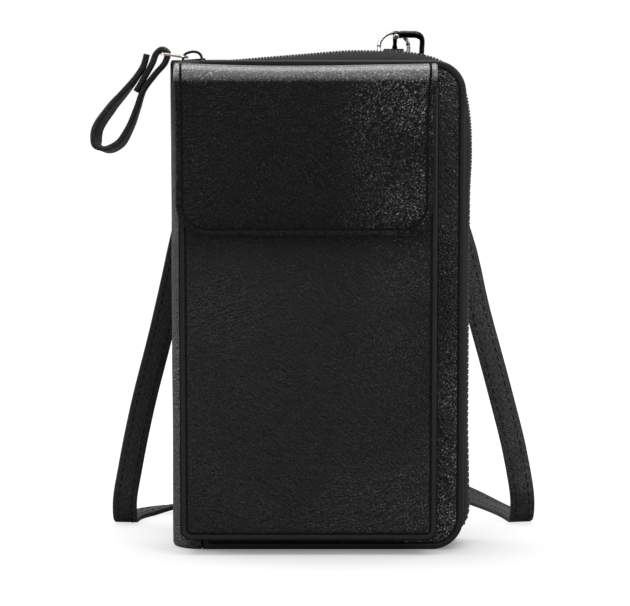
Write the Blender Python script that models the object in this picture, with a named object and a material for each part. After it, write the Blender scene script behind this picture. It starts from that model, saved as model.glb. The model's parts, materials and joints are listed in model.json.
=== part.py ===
"""Zip-around phone wallet: two leather covers round a spine, a front pocket with a
magnetic flap, a zip on three sides, a finger loop and a clip-on shoulder strap.

X runs across the wallet, Y from the front to the back, Z up. The origin is the
middle of the back cover's bottom edge, on which the wallet stands. Metres."""

import math

import bmesh
import bpy
from mathutils import Matrix, Vector

# Body
HEIGHT = 0.192
WIDTH = 0.114
DEPTH = 0.022  # over both covers
COVER = 0.002  # thickness of a cover
SPINE_WALL = 0.0018
CORNER = 0.0125  # radius of the covers' free corners
EDGE_ROUND = 0.0005
GAP = 0.0003  # between pieces that touch

# Inside
LINING = 0.0008
LINING_INSET = 0.0095
SLOT_SHEET = 0.00045
SLOT_FOOT = 0.0205
SLOT_HEIGHT = 0.080
SLOT_STEP = 0.019
BACK_SLOTS = 3
FRONT_SLOTS = 2
SLOT_INSET = 0.007
POUCH = 0.0022
POUCH_HEIGHT = 0.150
POUCH_FOOT = 0.014
POUCH_INSET = 0.010
PAGE_PLAY = 0.0004  # from the page's hinge line to its edge
PAGE_STRIP = 0.0010
COIN_ZIP_DROP = 0.016
COIN_ZIP_HIGH = 0.0036
COIN_ZIP_DEEP = 0.0007
COIN_SLIDER_LONG = 0.0085
COIN_SLIDER_DEEP = 0.0011
COIN_PULL_LONG = 0.016
COIN_PULL_WIDE = 0.0045
COIN_PULL_THICK = 0.0008
GUSSET_LONG = 0.052
GUSSET_SHEET = 0.0006
GUSSET_FOLD = 0.0085
GUSSET_DROP = 0.0102

# Zip
TOOTH_HIGH = 0.0022
TOOTH_WIDE = 0.0020
TEETH_APART = 0.0015
TAPE = 0.0007
TAPE_SINK = 0.0036  # how far the tape drops from the teeth to the covers
TAPE_HEM = 0.0012
ZIP_START = 0.010  # first tooth, from the spine's outer face
ZIP_START_RISE = -0.0030  # bottom of the first tooth, over the covers' top edge
ZIP_SLOPE = math.radians(4.7)
ZIP_STRAIGHT = 0.056  # straight run, on which the slider travels
ZIP_PROUD = 0.0002  # teeth's foot, outside the covers' right edge
ZIP_BULGE = 0.0008  # how much further it stands out near both corners
ZIP_FOOT = 0.0008  # teeth's lowest face, over the floor

# Zip slider, pull tab and finger loop
SLIDER_LONG = 0.0100
SLIDER_AHEAD = 0.0030  # how much of the teeth the slider holds at rest
SLIDER_WIDE = 0.0074
SLIDER_KEEL = 0.0056
SLIDER_PLATE = 0.0010
SLIDER_POST = 0.0008
BRIDGE_WIRE = 0.0005
BRIDGE_HIGH = 0.0028
BRIDGE_LONG = 0.0074
TAB_LONG = 0.0106
TAB_WIDE = 0.0112
TAB_THICK = 0.0010
TAB_RISE = math.radians(8.0)
TAB_EYE = 0.0026
TAB_EDGE = 0.0008  # metal beyond the eye
TAB_BAR = 0.0012
TAB_SLOT = 0.0040
LOOP_WIDE = 0.0084
LOOP_THICK = 0.0021

# Phone pocket and flap
POCKET_DEEP = 0.0118
POCKET_WALL = 0.0014
POCKET_WIDE = 0.0998
POCKET_LEFT = 0.0031  # from the spine's outer face
POCKET_FOOT = 0.0060
POCKET_TOP = 0.1820
POCKET_CORNER = 0.0040
PANEL = 0.0016
FLAP = 0.0015
FLAP_LINING = 0.0008
FLAP_WIDE = 0.0988
FLAP_LEFT = 0.0021
FLAP_TOP = 0.1898
FLAP_FOOT = 0.1250
FLAP_BEND = 0.0042
FLAP_CORNER = 0.0120
FLAP_HINGE = 0.0010  # hinge line, in front of the front cover
MAGNET_R = 0.0070
MAGNET_THICK = 0.0006
MAGNET_UP = 0.0130

# D-rings and hooks
RING_X = 0.0295
RING_LEFT_X = -0.0350
RING_LEFT_DROP = 0.0045  # left ring's bar, under the covers' top edge
RING_WIRE = 0.0008
RING_HALF = 0.0058
RING_HIGH = 0.0083
RING_FLOP = math.radians(128.0)
TAB_CLOTH = 0.0009
TAB_CLOTH_WIDE = 0.0080
TAB_CLOTH_LONG = 0.0090
HOOK_LONG = 0.0168
HOOK_WIDE = 0.0128
HOOK_THICK = 0.0020
HOOK_BAR = 0.0020
HOOK_HEAD = 0.0030
HOOK_LEAN = math.radians(45.0)
LEFT_LEAN = math.radians(17.0)  # left hook, outward from the vertical
HOOK_CROSS = 0.0055  # from the hook's crest to where the ring's wire crosses it
GATE_WIDE = 0.0015
GATE_THICK = 0.0009
PIN_R = 0.0006
PIN_HEAD_R = 0.00115
PIN_HEAD = 0.0005
STUD_R = 0.0012
COLLAR_R = 0.0024
COLLAR_LONG = 0.0029
EYE_WIDE = 0.0140
EYE_OPEN = 0.0054
EYE_BAR = 0.0016
EYE_THICK = 0.0018

# Shoulder strap
STRAP_WIDE = 0.0100
STRAP_THICK = 0.0022
STRAP_FOLD_LONG = 0.0260
RIVET_R = 0.0024
RIVET_HEAD = 0.0007
COIL_X = 0.000
COIL_Y = 0.072
COIL_OUTER = 0.0320
COIL_INNER = 0.0160
COIL_LAYER = 0.0038
COIL_STEPS = 24

# Places that follow from the sizes
LEFT = -WIDTH / 2
RIGHT = WIDTH / 2
BACK_IN = -COVER / 2
BACK_OUT = COVER / 2
FRONT_OUT = BACK_OUT - DEPTH
FRONT_IN = FRONT_OUT + COVER
MIDDLE_Y = (BACK_OUT + FRONT_OUT) / 2
SPINE_R = DEPTH / 2
SEAM_X = LEFT + SPINE_R
PANEL_OUT = FRONT_OUT - POCKET_DEEP
PANEL_IN = PANEL_OUT + PANEL
POCKET_X = LEFT + POCKET_LEFT
FLAP_X = LEFT + FLAP_LEFT
FLAP_OUT = PANEL_OUT - GAP - FLAP_LINING - GAP - FLAP
HINGE_Y = FRONT_OUT - FLAP_HINGE
PAGE_AXIS_X = SEAM_X + 0.002


def clear_scene():
    for thing in list(bpy.data.objects):
        bpy.data.objects.remove(thing, do_unlink=True)


def material(name, colour, rough, metal=0.0):
    made = bpy.data.materials.new(name)
    made.use_nodes = True
    shader = made.node_tree.nodes["Principled BSDF"]
    shader.inputs["Base Color"].default_value = (*colour, 1.0)
    shader.inputs["Roughness"].default_value = rough
    shader.inputs["Metallic"].default_value = metal
    return made


def leather():
    return material("black_leather", (0.016, 0.018, 0.018), 0.48)


def lining_cloth():
    return material("lining_cloth", (0.030, 0.031, 0.033), 0.85)


def zip_tape():
    return material("zip_tape", (0.020, 0.020, 0.022), 0.9)


def zip_coil():
    return material("zip_coil", (0.024, 0.024, 0.026), 0.35)


def gunmetal():
    return material("gunmetal", (0.10, 0.10, 0.105), 0.28, 1.0)


def nickel():
    return material("nickel", (0.62, 0.61, 0.58), 0.22, 1.0)


def pale_gold():
    return material("pale_gold", (0.72, 0.66, 0.52), 0.25, 1.0)


def iron():
    return material("iron", (0.30, 0.30, 0.31), 0.4, 1.0)


def finish(name, bm, made_of, smooth=False):
    """Turns a bmesh into a named object with its faces outward."""
    bmesh.ops.recalc_face_normals(bm, faces=bm.faces)
    mesh = bpy.data.meshes.new(name)
    bm.to_mesh(mesh)
    bm.free()
    mesh.materials.append(made_of)
    thing = bpy.data.objects.new(name, mesh)
    bpy.context.collection.objects.link(thing)
    if smooth:
        mesh.shade_smooth()
        mesh.set_sharp_from_angle(angle=math.radians(35))
    return thing


def hang(axis_point, *names):
    """Puts the origins of a moving body's pieces on its joint's axis, shapes left in place."""
    for name in names:
        thing = bpy.data.objects[name]
        thing.data.transform(Matrix.Translation(-Vector(axis_point)))
        thing.location = axis_point


def arc(centre, radius, start, end, steps):
    """Points of an arc in a plane, from one angle to another."""
    turn = (end - start) / steps
    return [
        (
            centre[0] + radius * math.cos(start + turn * i),
            centre[1] + radius * math.sin(start + turn * i),
        )
        for i in range(steps + 1)
    ]


def rounded(left, right, low, high, radii, steps=6):
    """A rectangle with round corners: radii at low right, high right, high left, low left."""
    corners = [
        ((right, low), (-1, 1), -0.5),
        ((right, high), (-1, -1), 0.0),
        ((left, high), (1, -1), 0.5),
        ((left, low), (1, 1), 1.0),
    ]
    outline = []
    for (corner, inward, turn), radius in zip(corners, radii):
        if radius == 0:
            outline.append(corner)
            continue
        centre = (corner[0] + inward[0] * radius, corner[1] + inward[1] * radius)
        start = turn * math.pi
        outline += arc(centre, radius, start, start + math.pi / 2, steps)
    return outline


def add_slab(bm, outline, near, far, edge=0.0):
    """Extrudes an outline in X and Z from one Y to another, with its rims rounded."""
    base = [bm.verts.new((x, near, z)) for x, z in outline]
    face = bm.faces.new(base)
    moved = bmesh.ops.extrude_face_region(bm, geom=[face])["geom"]
    tops = [v for v in moved if isinstance(v, bmesh.types.BMVert)]
    bmesh.ops.translate(bm, verts=tops, vec=(0, far - near, 0))
    if edge:
        new = set(base) | set(tops)
        rims = [
            e
            for e in bm.edges
            if set(e.verts) <= new and abs(e.verts[0].co.y - e.verts[1].co.y) < edge / 10
        ]
        bmesh.ops.bevel(
            bm, geom=rims, offset=edge, segments=2, profile=0.5, affect="EDGES", material=-1
        )


def slab(name, outline, near, far, made_of, edge=0.0):
    bm = bmesh.new()
    add_slab(bm, outline, near, far, edge)
    return finish(name, bm, made_of)


def add_loft(bm, rings, closed=False):
    """Skins a row of like rings into one solid, capped, or closed on itself."""
    loops = [[bm.verts.new(p) for p in ring] for ring in rings]
    pairs = list(zip(loops, loops[1:]))
    if closed:
        pairs.append((loops[-1], loops[0]))
    for one, two in pairs:
        for i in range(len(one)):
            j = (i + 1) % len(one)
            bm.faces.new((one[i], one[j], two[j], two[i]))
    if not closed:
        bm.faces.new(loops[0][::-1])
        bm.faces.new(loops[-1])


def add_rod(bm, path, radius, sides=8, closed=False):
    """A round rod along a path of points."""
    points = [Vector(p) for p in path]
    count = len(points)
    rings = []
    side = None
    for i, point in enumerate(points):
        before = points[i - 1] if closed or i else point
        after = points[(i + 1) % count] if closed or i < count - 1 else point
        along = (after - before).normalized()
        if side is None:
            side = along.orthogonal().normalized()
        side = (side - along * side.dot(along)).normalized()
        other = along.cross(side)
        rings.append(
            [
                point
                + side * radius * math.cos(2 * math.pi * k / sides)
                + other * radius * math.sin(2 * math.pi * k / sides)
                for k in range(sides)
            ]
        )
    add_loft(bm, rings, closed)


def add_ribbon(bm, path, across, wide, thick):
    """A flat strap along a path: across gives its width's direction at each point."""
    rings = []
    for i, point in enumerate(path):
        before = path[max(i - 1, 0)]
        after = path[min(i + 1, len(path) - 1)]
        along = (after - before).normalized()
        side = (across[i] - along * across[i].dot(along)).normalized() * wide / 2
        up = along.cross(side).normalized() * thick / 2
        rings.append([point - side - up, point + side - up, point + side + up, point - side + up])
    add_loft(bm, rings)


def smooth_path(points, steps):
    """A smooth curve through hand-set points, with a few steps between each two."""
    ends = [2 * points[0] - points[1], *points, 2 * points[-1] - points[-2]]
    path = []
    for a, b, c, d in zip(ends, ends[1:], ends[2:], ends[3:]):
        for k in range(steps):
            t = k / steps
            path.append(
                0.5
                * (
                    2 * b
                    + (c - a) * t
                    + (2 * a - 5 * b + 4 * c - d) * t**2
                    + (3 * b - a - 3 * c + d) * t**3
                )
            )
    path.append(points[-1].copy())
    return path


def cover_outline(inset=0.0, left=SEAM_X):
    corner = CORNER - inset
    return rounded(
        left + inset, RIGHT - inset, inset, HEIGHT - inset, (corner, corner, 0, 0), 8
    )


def covers():
    slab("back_cover", cover_outline(), BACK_IN, BACK_OUT, leather(), EDGE_ROUND)
    front = slab(
        "front_cover",
        cover_outline(left=SEAM_X + GAP),
        FRONT_OUT,
        FRONT_IN,
        leather(),
        EDGE_ROUND,
    )
    return front


def spine():
    """Half-round wall from the back cover's edge to the front cover's."""
    centre = (SEAM_X - GAP, MIDDLE_Y)
    outer = arc(centre, SPINE_R, math.pi / 2, 3 * math.pi / 2, 14)
    inner = arc(centre, SPINE_R - SPINE_WALL, 3 * math.pi / 2, math.pi / 2, 14)
    rings = [[(x, y, z) for x, y in outer + inner] for z in (0.0, HEIGHT)]
    bm = bmesh.new()
    add_loft(bm, rings)
    return finish("spine", bm, leather(), True)


def linings():
    outline = cover_outline(LINING_INSET)
    slab("back_lining", outline, BACK_IN - GAP, BACK_IN - GAP - LINING, lining_cloth())
    slab("front_lining", outline, FRONT_IN + GAP, FRONT_IN + GAP + LINING, lining_cloth())


def slot_strips(name, start, step, count):
    """Card slots: strips that overlap, each one lower and nearer the middle."""
    for i in range(count):
        near = start + i * step * (SLOT_SHEET + GAP)
        low = SLOT_FOOT
        high = low + SLOT_HEIGHT + (count - 1 - i) * SLOT_STEP
        outline = rounded(
            SEAM_X + SLOT_INSET, RIGHT - SLOT_INSET, low, high, (0.004, 0, 0, 0), 3
        )
        slab(f"{name}_{i + 1}", outline, near, near + step * SLOT_SHEET, leather())


def card_slots():
    back_start = BACK_IN - GAP - LINING - GAP
    front_start = FRONT_IN + GAP + LINING + GAP
    slot_strips("back_card_slot", back_start, -1, BACK_SLOTS)
    slot_strips("front_card_slot", front_start, 1, FRONT_SLOTS)


def page_outline():
    left = PAGE_AXIS_X + PAGE_PLAY
    return rounded(
        left,
        RIGHT - POUCH_INSET,
        POUCH_FOOT,
        POUCH_FOOT + POUCH_HEIGHT,
        (0.004, 0.008, 0.008, 0.004),
        4,
    )


def coin_page():
    """Coin pouch between the halves, with a short zip on its front face."""
    near = MIDDLE_Y - POUCH / 2
    slab("coin_pouch", page_outline(), near, near + POUCH, lining_cloth())
    spine_in = SEAM_X - GAP - SPINE_R + SPINE_WALL
    low = SLOT_FOOT
    high = POUCH_FOOT + POUCH_HEIGHT - POUCH_INSET
    strip = rounded(spine_in + GAP, PAGE_AXIS_X - PAGE_PLAY / 4, low, high, (0, 0, 0, 0))
    half = PAGE_STRIP / 2
    slab("page_strip", strip, MIDDLE_Y - half, MIDDLE_Y + half, lining_cloth())
    zip_low = POUCH_FOOT + POUCH_HEIGHT - COIN_ZIP_DROP
    zip_left = SEAM_X + POUCH_INSET
    zip_right = RIGHT - 1.8 * POUCH_INSET
    face = near - GAP
    slab(
        "coin_zip",
        rounded(zip_left, zip_right, zip_low, zip_low + COIN_ZIP_HIGH, (0, 0, 0, 0)),
        face,
        face - COIN_ZIP_DEEP,
        zip_coil(),
    )
    slide_left = zip_left + 0.002
    face -= COIN_ZIP_DEEP + GAP
    middle = zip_low + COIN_ZIP_HIGH / 2
    outline = rounded(
        slide_left,
        slide_left + COIN_SLIDER_LONG,
        middle - COIN_ZIP_HIGH / 2,
        middle + COIN_ZIP_HIGH / 2,
        (0.001, 0.001, 0.001, 0.001),
        3,
    )
    slab("coin_slider", outline, face, face - COIN_SLIDER_DEEP, nickel())
    face -= COIN_SLIDER_DEEP + GAP
    pull_x = slide_left + COIN_SLIDER_LONG / 2
    outline = rounded(
        pull_x - COIN_PULL_WIDE / 2,
        pull_x + COIN_PULL_WIDE / 2,
        middle + COIN_PULL_WIDE / 2 - COIN_PULL_LONG,
        middle + COIN_PULL_WIDE / 2,
        (0.002, 0.001, 0.001, 0.002),
        3,
    )
    slab("coin_pull", outline, face, face - COIN_PULL_THICK, nickel())
    return (pull_x, face - COIN_PULL_THICK / 2, middle)


def gusset(name, low):
    """Folded side sheet between the halves: a W in plan, near the spine."""
    span = (FRONT_IN + GAP, BACK_IN - GAP)
    inner_front = span[0] + LINING + GAP
    inner_back = span[1] - LINING - GAP
    xs = (SEAM_X + 0.0012, SEAM_X + 0.0012 + GUSSET_LONG)
    folds = [inner_front, (inner_front + MIDDLE_Y) / 2, MIDDLE_Y, (inner_back + MIDDLE_Y) / 2]
    folds.append(inner_back)
    dips = [0, -GUSSET_FOLD, 0, -GUSSET_FOLD, 0]
    ring = [(y, low + (d if low > HEIGHT / 2 else -d)) for y, d in zip(folds, dips)]
    under = [(y, z - GUSSET_SHEET) for y, z in reversed(ring)]
    bm = bmesh.new()
    add_loft(bm, [[(x, y, z) for y, z in ring + under] for x in xs])
    return finish(name, bm, lining_cloth())


def gussets():
    gusset("gusset_top", HEIGHT - GUSSET_DROP)
    gusset("gusset_bottom", GUSSET_DROP)


def zip_path():
    """Foot line of the teeth and its outward direction, from the slider round to the end."""
    start = Vector((LEFT + ZIP_START, 0, HEIGHT + ZIP_START_RISE))
    along = Vector((math.cos(ZIP_SLOPE), 0, math.sin(ZIP_SLOPE)))
    peak = start + along * ZIP_STRAIGHT
    right = RIGHT + ZIP_PROUD
    points = [start, start + along * ZIP_STRAIGHT / 2, peak]
    crown = [
        (peak.x + 0.0125, peak.z + 0.0001),
        (right - 0.0235, HEIGHT + 0.0013),
        (right - 0.0155, HEIGHT - 0.0001),
        (right - 0.0110, HEIGHT - 0.0016),
        (right - 0.0060, HEIGHT - 0.0058),
        (right - 0.0029, HEIGHT - 0.0098),
        (right - 0.0014, HEIGHT - 0.0135),
        (right - 0.0002, HEIGHT - 0.0200),
        (right + ZIP_BULGE, HEIGHT - 0.0350),
        (right + ZIP_BULGE / 4, HEIGHT - 0.0520),
        (right, HEIGHT / 2),
        (right, HEIGHT / 4),
    ]
    points += [Vector((x, 0, z)) for x, z in crown]
    low = ZIP_FOOT + TOOTH_HIGH
    corner = (right + ZIP_BULGE - CORNER, low + CORNER)
    points += [Vector((x, 0, z)) for x, z in arc(corner, CORNER, 0.0, -math.pi / 2, 5)]
    points.append(Vector((0, 0, low)))
    points.append(Vector((LEFT + ZIP_START + 0.004, 0, low)))
    outward = []
    for i, point in enumerate(points):
        before = points[max(i - 1, 0)]
        after = points[min(i + 1, len(points) - 1)]
        run = (after - before).normalized()
        outward.append(Vector((-run.z, 0, run.x)))
    return points, outward


def zip_halves():
    """Each half has a row of teeth and a tape that drops to the cover's edge."""
    points, outward = zip_path()
    halves = (("back", 1, BACK_IN), ("front", -1, FRONT_IN))
    for half, side, cover in halves:
        near = MIDDLE_Y + side * TEETH_APART / 2
        far = near + side * TOOTH_WIDE
        bm = bmesh.new()
        rings = []
        for point, out in zip(points, outward):
            foot = [(near, 0), (far, 0), (far, TOOTH_HIGH), (near, TOOTH_HIGH)]
            rings.append([point + out * n + Vector((0, y, 0)) for y, n in foot])
        add_loft(bm, rings)
        finish(half + "_teeth", bm, zip_coil())
        rise = (TOOTH_HIGH - TAPE) / 2
        edge = cover - side * GAP
        begin = far + side * GAP
        bend = begin + side * 0.0012
        line = [(begin, rise), (bend, rise - 0.0002), (edge - side * 0.0012, rise - TAPE_SINK)]
        line.append((edge, rise - TAPE_SINK - TAPE_HEM))
        profile = [(y, n + TAPE) for y, n in line] + [(y, n) for y, n in reversed(line)]
        bm = bmesh.new()
        rings = []
        for point, out in zip(points, outward):
            rings.append([point + out * n + Vector((0, y, 0)) for y, n in profile])
        add_loft(bm, rings)
        finish(half + "_tape", bm, zip_tape())


def tool(name, bm):
    """A shape that is only joined to another or cut from it."""
    thing = finish(name, bm, iron())
    thing.hide_render = True
    thing.display_type = "WIRE"
    return thing


def combine(base, other, operation):
    change = base.modifiers.new(operation.lower() + "_" + other.name, "BOOLEAN")
    change.operation = operation
    change.solver = "EXACT"
    change.object = other


def box(place, low, high):
    """A box given by two corners in a piece's own axes, placed by a matrix."""
    bm = bmesh.new()
    bmesh.ops.create_cube(bm, size=1.0)
    size = Vector(high) - Vector(low)
    middle = (Vector(high) + Vector(low)) / 2
    bmesh.ops.scale(bm, vec=size, verts=bm.verts)
    bmesh.ops.translate(bm, vec=middle, verts=bm.verts)
    bmesh.ops.transform(bm, matrix=place, verts=bm.verts)
    return bm


def rod_between(place, start, end, radius, sides=16):
    bm = bmesh.new()
    add_rod(bm, [start, end], radius, sides)
    bmesh.ops.transform(bm, matrix=place, verts=bm.verts)
    return bm


def plate(place, outline, low, high, edge=0.0):
    """An outline in a piece's first two axes, thickened along its third."""
    bm = bmesh.new()
    add_slab(bm, outline, -low, -high, edge)
    turn = Matrix(((1, 0, 0, 0), (0, 0, 1, 0), (0, -1, 0, 0), (0, 0, 0, 1)))
    bmesh.ops.transform(bm, matrix=place @ turn, verts=bm.verts)
    return bm


def axes(origin, first, second):
    """A placing matrix whose first and second axes point the given ways."""
    first = Vector(first).normalized()
    second = Vector(second).normalized()
    third = first.cross(second)
    turn = Matrix((first, second, third)).transposed().to_4x4()
    return Matrix.Translation(Vector(origin)) @ turn


def slider_place():
    start = Vector((LEFT + ZIP_START, MIDDLE_Y, HEIGHT + ZIP_START_RISE))
    along = Vector((math.cos(ZIP_SLOPE), 0, math.sin(ZIP_SLOPE)))
    return axes(start, along, (0, 1, 0))


def zip_slider():
    """Top plate, keel plate and the post between the two rows, with the pull's bridge."""
    place = slider_place()
    right = SLIDER_AHEAD
    left = right - SLIDER_LONG
    top = TOOTH_HIGH + GAP
    half = SLIDER_WIDE / 2
    outline = rounded(left, right, -half, half, (0.0015, 0.0015, 0.0028, 0.0028), 4)
    slider = finish(
        "zip_slider", plate(place, outline, top, top + SLIDER_PLATE, 0.0002), gunmetal()
    )
    keel = SLIDER_KEEL / 2
    outline = rounded(left, right, -keel, keel, (0.001, 0.001, 0.002, 0.002), 4)
    keel_top = -GAP
    lower = plate(place, outline, keel_top - SLIDER_PLATE, keel_top)
    post_low = (left + 0.0012, -SLIDER_POST / 2, keel_top - SLIDER_PLATE / 2)
    post_high = (right - 0.0012, SLIDER_POST / 2, top + SLIDER_PLATE / 2)
    middle = (left + right) / 2
    seat = top + SLIDER_PLATE / 2
    wire = [
        (middle + x * BRIDGE_LONG / 2, 0.0, seat + z * (BRIDGE_HIGH + SLIDER_PLATE / 2))
        for x, z in ((-1, 0), (-0.95, 0.45), (-0.7, 0.8), (-0.3, 0.97), (0.2, 1.0))
        + ((0.6, 0.88), (0.9, 0.55), (1, 0))
    ]
    bridge = bmesh.new()
    add_rod(bridge, wire, BRIDGE_WIRE, 10)
    bmesh.ops.transform(bridge, matrix=place, verts=bridge.verts)
    combine(slider, tool("slider_keel", lower), "UNION")
    combine(slider, tool("slider_post", box(place, post_low, post_high)), "UNION")
    combine(slider, tool("slider_bridge", bridge), "UNION")
    lift = (TAB_EYE / 2 + TAB_EDGE) * math.sin(TAB_RISE + ZIP_SLOPE)
    foot = top + SLIDER_PLATE + GAP + TAB_THICK / 2 + lift
    return place @ Vector((middle - BRIDGE_LONG / 2, 0, foot))


def pull_tab(foot):
    """Flat tab, with an eye round the bridge's foot and a slot for the finger loop."""
    place = axes(foot, (-math.cos(TAB_RISE), 0, math.sin(TAB_RISE)), (0, -1, 0))
    near = -TAB_EYE / 2 - TAB_EDGE
    far = near + TAB_LONG
    half = TAB_WIDE / 2
    outline = rounded(near, far, -half, half, (0.0022, 0.0022, 0.0030, 0.0030), 4)
    low, high = -TAB_THICK / 2, TAB_THICK / 2
    tab = finish("pull_tab", plate(place, outline, low, high, 0.0002), pale_gold())
    reach = TAB_THICK
    eye = TAB_EYE / 2
    hole = box(place, (-eye, -eye, -reach), (eye, eye, reach))
    combine(tab, tool("tab_eye_cut", hole), "DIFFERENCE")
    slot_far = far - TAB_BAR
    slot_half = LOOP_WIDE / 2 + GAP
    slot = box(place, (slot_far - TAB_SLOT, -slot_half, -reach), (slot_far, slot_half, reach))
    combine(tab, tool("tab_slot_cut", slot), "DIFFERENCE")
    heel = place @ Vector((near, 0, low))
    return heel, place @ Vector((far - TAB_BAR / 2, 0, 0))


def finger_loop(bar):
    """Leather strip round the tab's bar: one sewn lap, then the open loop for a finger.

    The points are measured from the bar in X and Z, from the square inner end round
    the bar and the loop to the round outer end."""
    route = [
        (-0.0104, -0.0146),
        (-0.0072, -0.0092),
        (-0.0040, -0.0036),
        (-0.0023, 0.0008),
        (-0.0002, 0.0022),
        (0.0020, 0.0006),
        (0.0013, -0.0026),
        (-0.0030, -0.0080),
        (-0.0077, -0.0144),
        (-0.0100, -0.0210),
        (-0.0140, -0.0291),
        (-0.0183, -0.0346),
        (-0.0234, -0.0364),
        (-0.0269, -0.0352),
        (-0.0276, -0.0308),
        (-0.0219, -0.0212),
        (-0.0150, -0.0139),
        (-0.0105, -0.0094),
        (-0.0074, -0.0044),
        (-0.0062, -0.0002),
    ]
    points = [bar + Vector((x, 0, z)) for x, z in route]
    path = smooth_path(points, 3)
    bm = bmesh.new()
    across = [Vector((0, 1, 0))] * len(path)
    add_ribbon(bm, path, across, LOOP_WIDE, LOOP_THICK)
    return finish("finger_loop", bm, leather())


def pocket():
    """Phone pocket on the front cover: panel, U gusset, and the magnet's plate."""
    left = POCKET_X
    right = left + POCKET_WIDE
    corner = POCKET_CORNER
    outline = rounded(left, right, POCKET_FOOT, POCKET_TOP, (corner, 0, 0, corner), 5)
    panel = slab("pocket_panel", outline, PANEL_OUT, PANEL_IN, leather(), EDGE_ROUND)
    magnet_cut(panel, PANEL_IN, -1)
    inner = corner - POCKET_WALL
    left += EDGE_ROUND
    right -= EDGE_ROUND
    low = POCKET_FOOT + EDGE_ROUND
    outer_rim = rounded(left, right, low, POCKET_TOP, (corner, 0, 0, corner), 5)
    wall = POCKET_WALL
    radii = (inner, 0, 0, inner)
    inner_rim = rounded(left + wall, right - wall, low + wall, POCKET_TOP, radii, 5)
    start = outer_rim.index((left, POCKET_TOP))
    outer_rim = outer_rim[start:] + outer_rim[:start]
    start = inner_rim.index((left + wall, POCKET_TOP))
    inner_rim = inner_rim[start:] + inner_rim[:start]
    slab(
        "pocket_gusset",
        outer_rim + inner_rim[::-1],
        PANEL_IN + GAP,
        FRONT_OUT - GAP,
        leather(),
    )
    disc("magnet_plate", PANEL_IN - GAP - MAGNET_THICK, PANEL_IN - GAP, iron())


def magnet_place():
    middle_x = FLAP_X + FLAP_WIDE / 2
    return axes((middle_x, 0, FLAP_FOOT + MAGNET_UP), (1, 0, 0), (0, 0, 1))


def disc(name, near, far, made_of):
    middle = magnet_place().translation
    start = (middle.x, near, middle.z)
    end = (middle.x, far, middle.z)
    bm = rod_between(Matrix.Identity(4), start, end, MAGNET_R, 32)
    return finish(name, bm, made_of)


def magnet_cut(thing, face, side):
    """Shallow round seat in a sheet's face, for a disc."""
    middle = magnet_place().translation
    start = (middle.x, face + side * (MAGNET_THICK + 2 * GAP), middle.z)
    end = (middle.x, face - side * 0.002, middle.z)
    bm = rod_between(Matrix.Identity(4), start, end, MAGNET_R + GAP, 32)
    combine(thing, tool(thing.name + "_seat_cut", bm), "DIFFERENCE")


def flap_sheet(name, depth, thick, inset, made_of):
    """A bent sheet from the hinge, over the pocket and down its front."""
    face_y = FLAP_OUT + depth
    top_z = FLAP_TOP - depth
    bend = FLAP_BEND - depth
    foot = FLAP_FOOT + inset
    corner = FLAP_CORNER - inset
    path = [(HINGE_Y - GAP, top_z), ((HINGE_Y + face_y + bend) / 2, top_z)]
    turn = arc((face_y + bend, top_z - bend), bend, math.pi / 2, math.pi, 6)
    path += turn
    path += [(face_y, foot + corner)]
    steps = 7
    drops = [corner * math.sin(math.pi / 2 * i / steps) for i in range(1, steps + 1)]
    path += [(face_y, foot + corner - drop) for drop in drops]
    half = FLAP_WIDE / 2 - inset
    middle_x = FLAP_X + FLAP_WIDE / 2
    rings = []
    for i, (y, z) in enumerate(path):
        before = path[max(i - 1, 0)]
        after = path[min(i + 1, len(path) - 1)]
        along = Vector((after[0] - before[0], after[1] - before[1])).normalized()
        inward = Vector((-along.y, along.x)) * thick / 2
        drop = foot + corner - z
        wide = half
        if y == face_y and drop > 0:
            wide -= corner - math.sqrt(max(corner**2 - drop**2, 0))
        near = (y - inward.x, z - inward.y)
        away = (y + inward.x, z + inward.y)
        rings.append(
            [
                (middle_x - wide, *near),
                (middle_x + wide, *near),
                (middle_x + wide, *away),
                (middle_x - wide, *away),
            ]
        )
    bm = bmesh.new()
    add_loft(bm, rings)
    return finish(name, bm, made_of)


def flap():
    shell = flap_sheet("flap_shell", FLAP / 2, FLAP, 0.0, leather())
    inner_face = FLAP_OUT + FLAP
    magnet_cut(shell, inner_face, -1)
    depth = FLAP + GAP + FLAP_LINING / 2
    flap_sheet("flap_lining", depth, FLAP_LINING, 0.0010, lining_cloth())
    disc("flap_magnet", inner_face - GAP - MAGNET_THICK, inner_face - GAP, iron())


def ring_foot(side):
    """Middle of a D-ring's bar: the right one over the top edge, the left one behind it."""
    if side > 0:
        return Vector((RING_X, 0.0002, HEIGHT + GAP + TAB_CLOTH + GAP + RING_WIRE))
    away = GAP + TAB_CLOTH + GAP + RING_WIRE
    return Vector((RING_LEFT_X, BACK_OUT + away, HEIGHT - RING_LEFT_DROP))


def d_ring(name, side, flop):
    """Round wire bent to a D, turned back about its lower bar."""
    foot = ring_foot(side)
    crown = RING_HIGH - RING_HALF
    outline = [(-RING_HALF, 0), (RING_HALF, 0)]
    outline += arc((0, crown), RING_HALF, 0, math.pi, 14)
    outline.insert(1, (0, 0))
    up = Vector((0, math.sin(flop), math.cos(flop)))
    wire = [foot + Vector((x, 0, 0)) + up * z for x, z in outline]
    bm = bmesh.new()
    add_rod(bm, wire, RING_WIRE, 8, True)
    finish(name, bm, nickel(), True)


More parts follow.
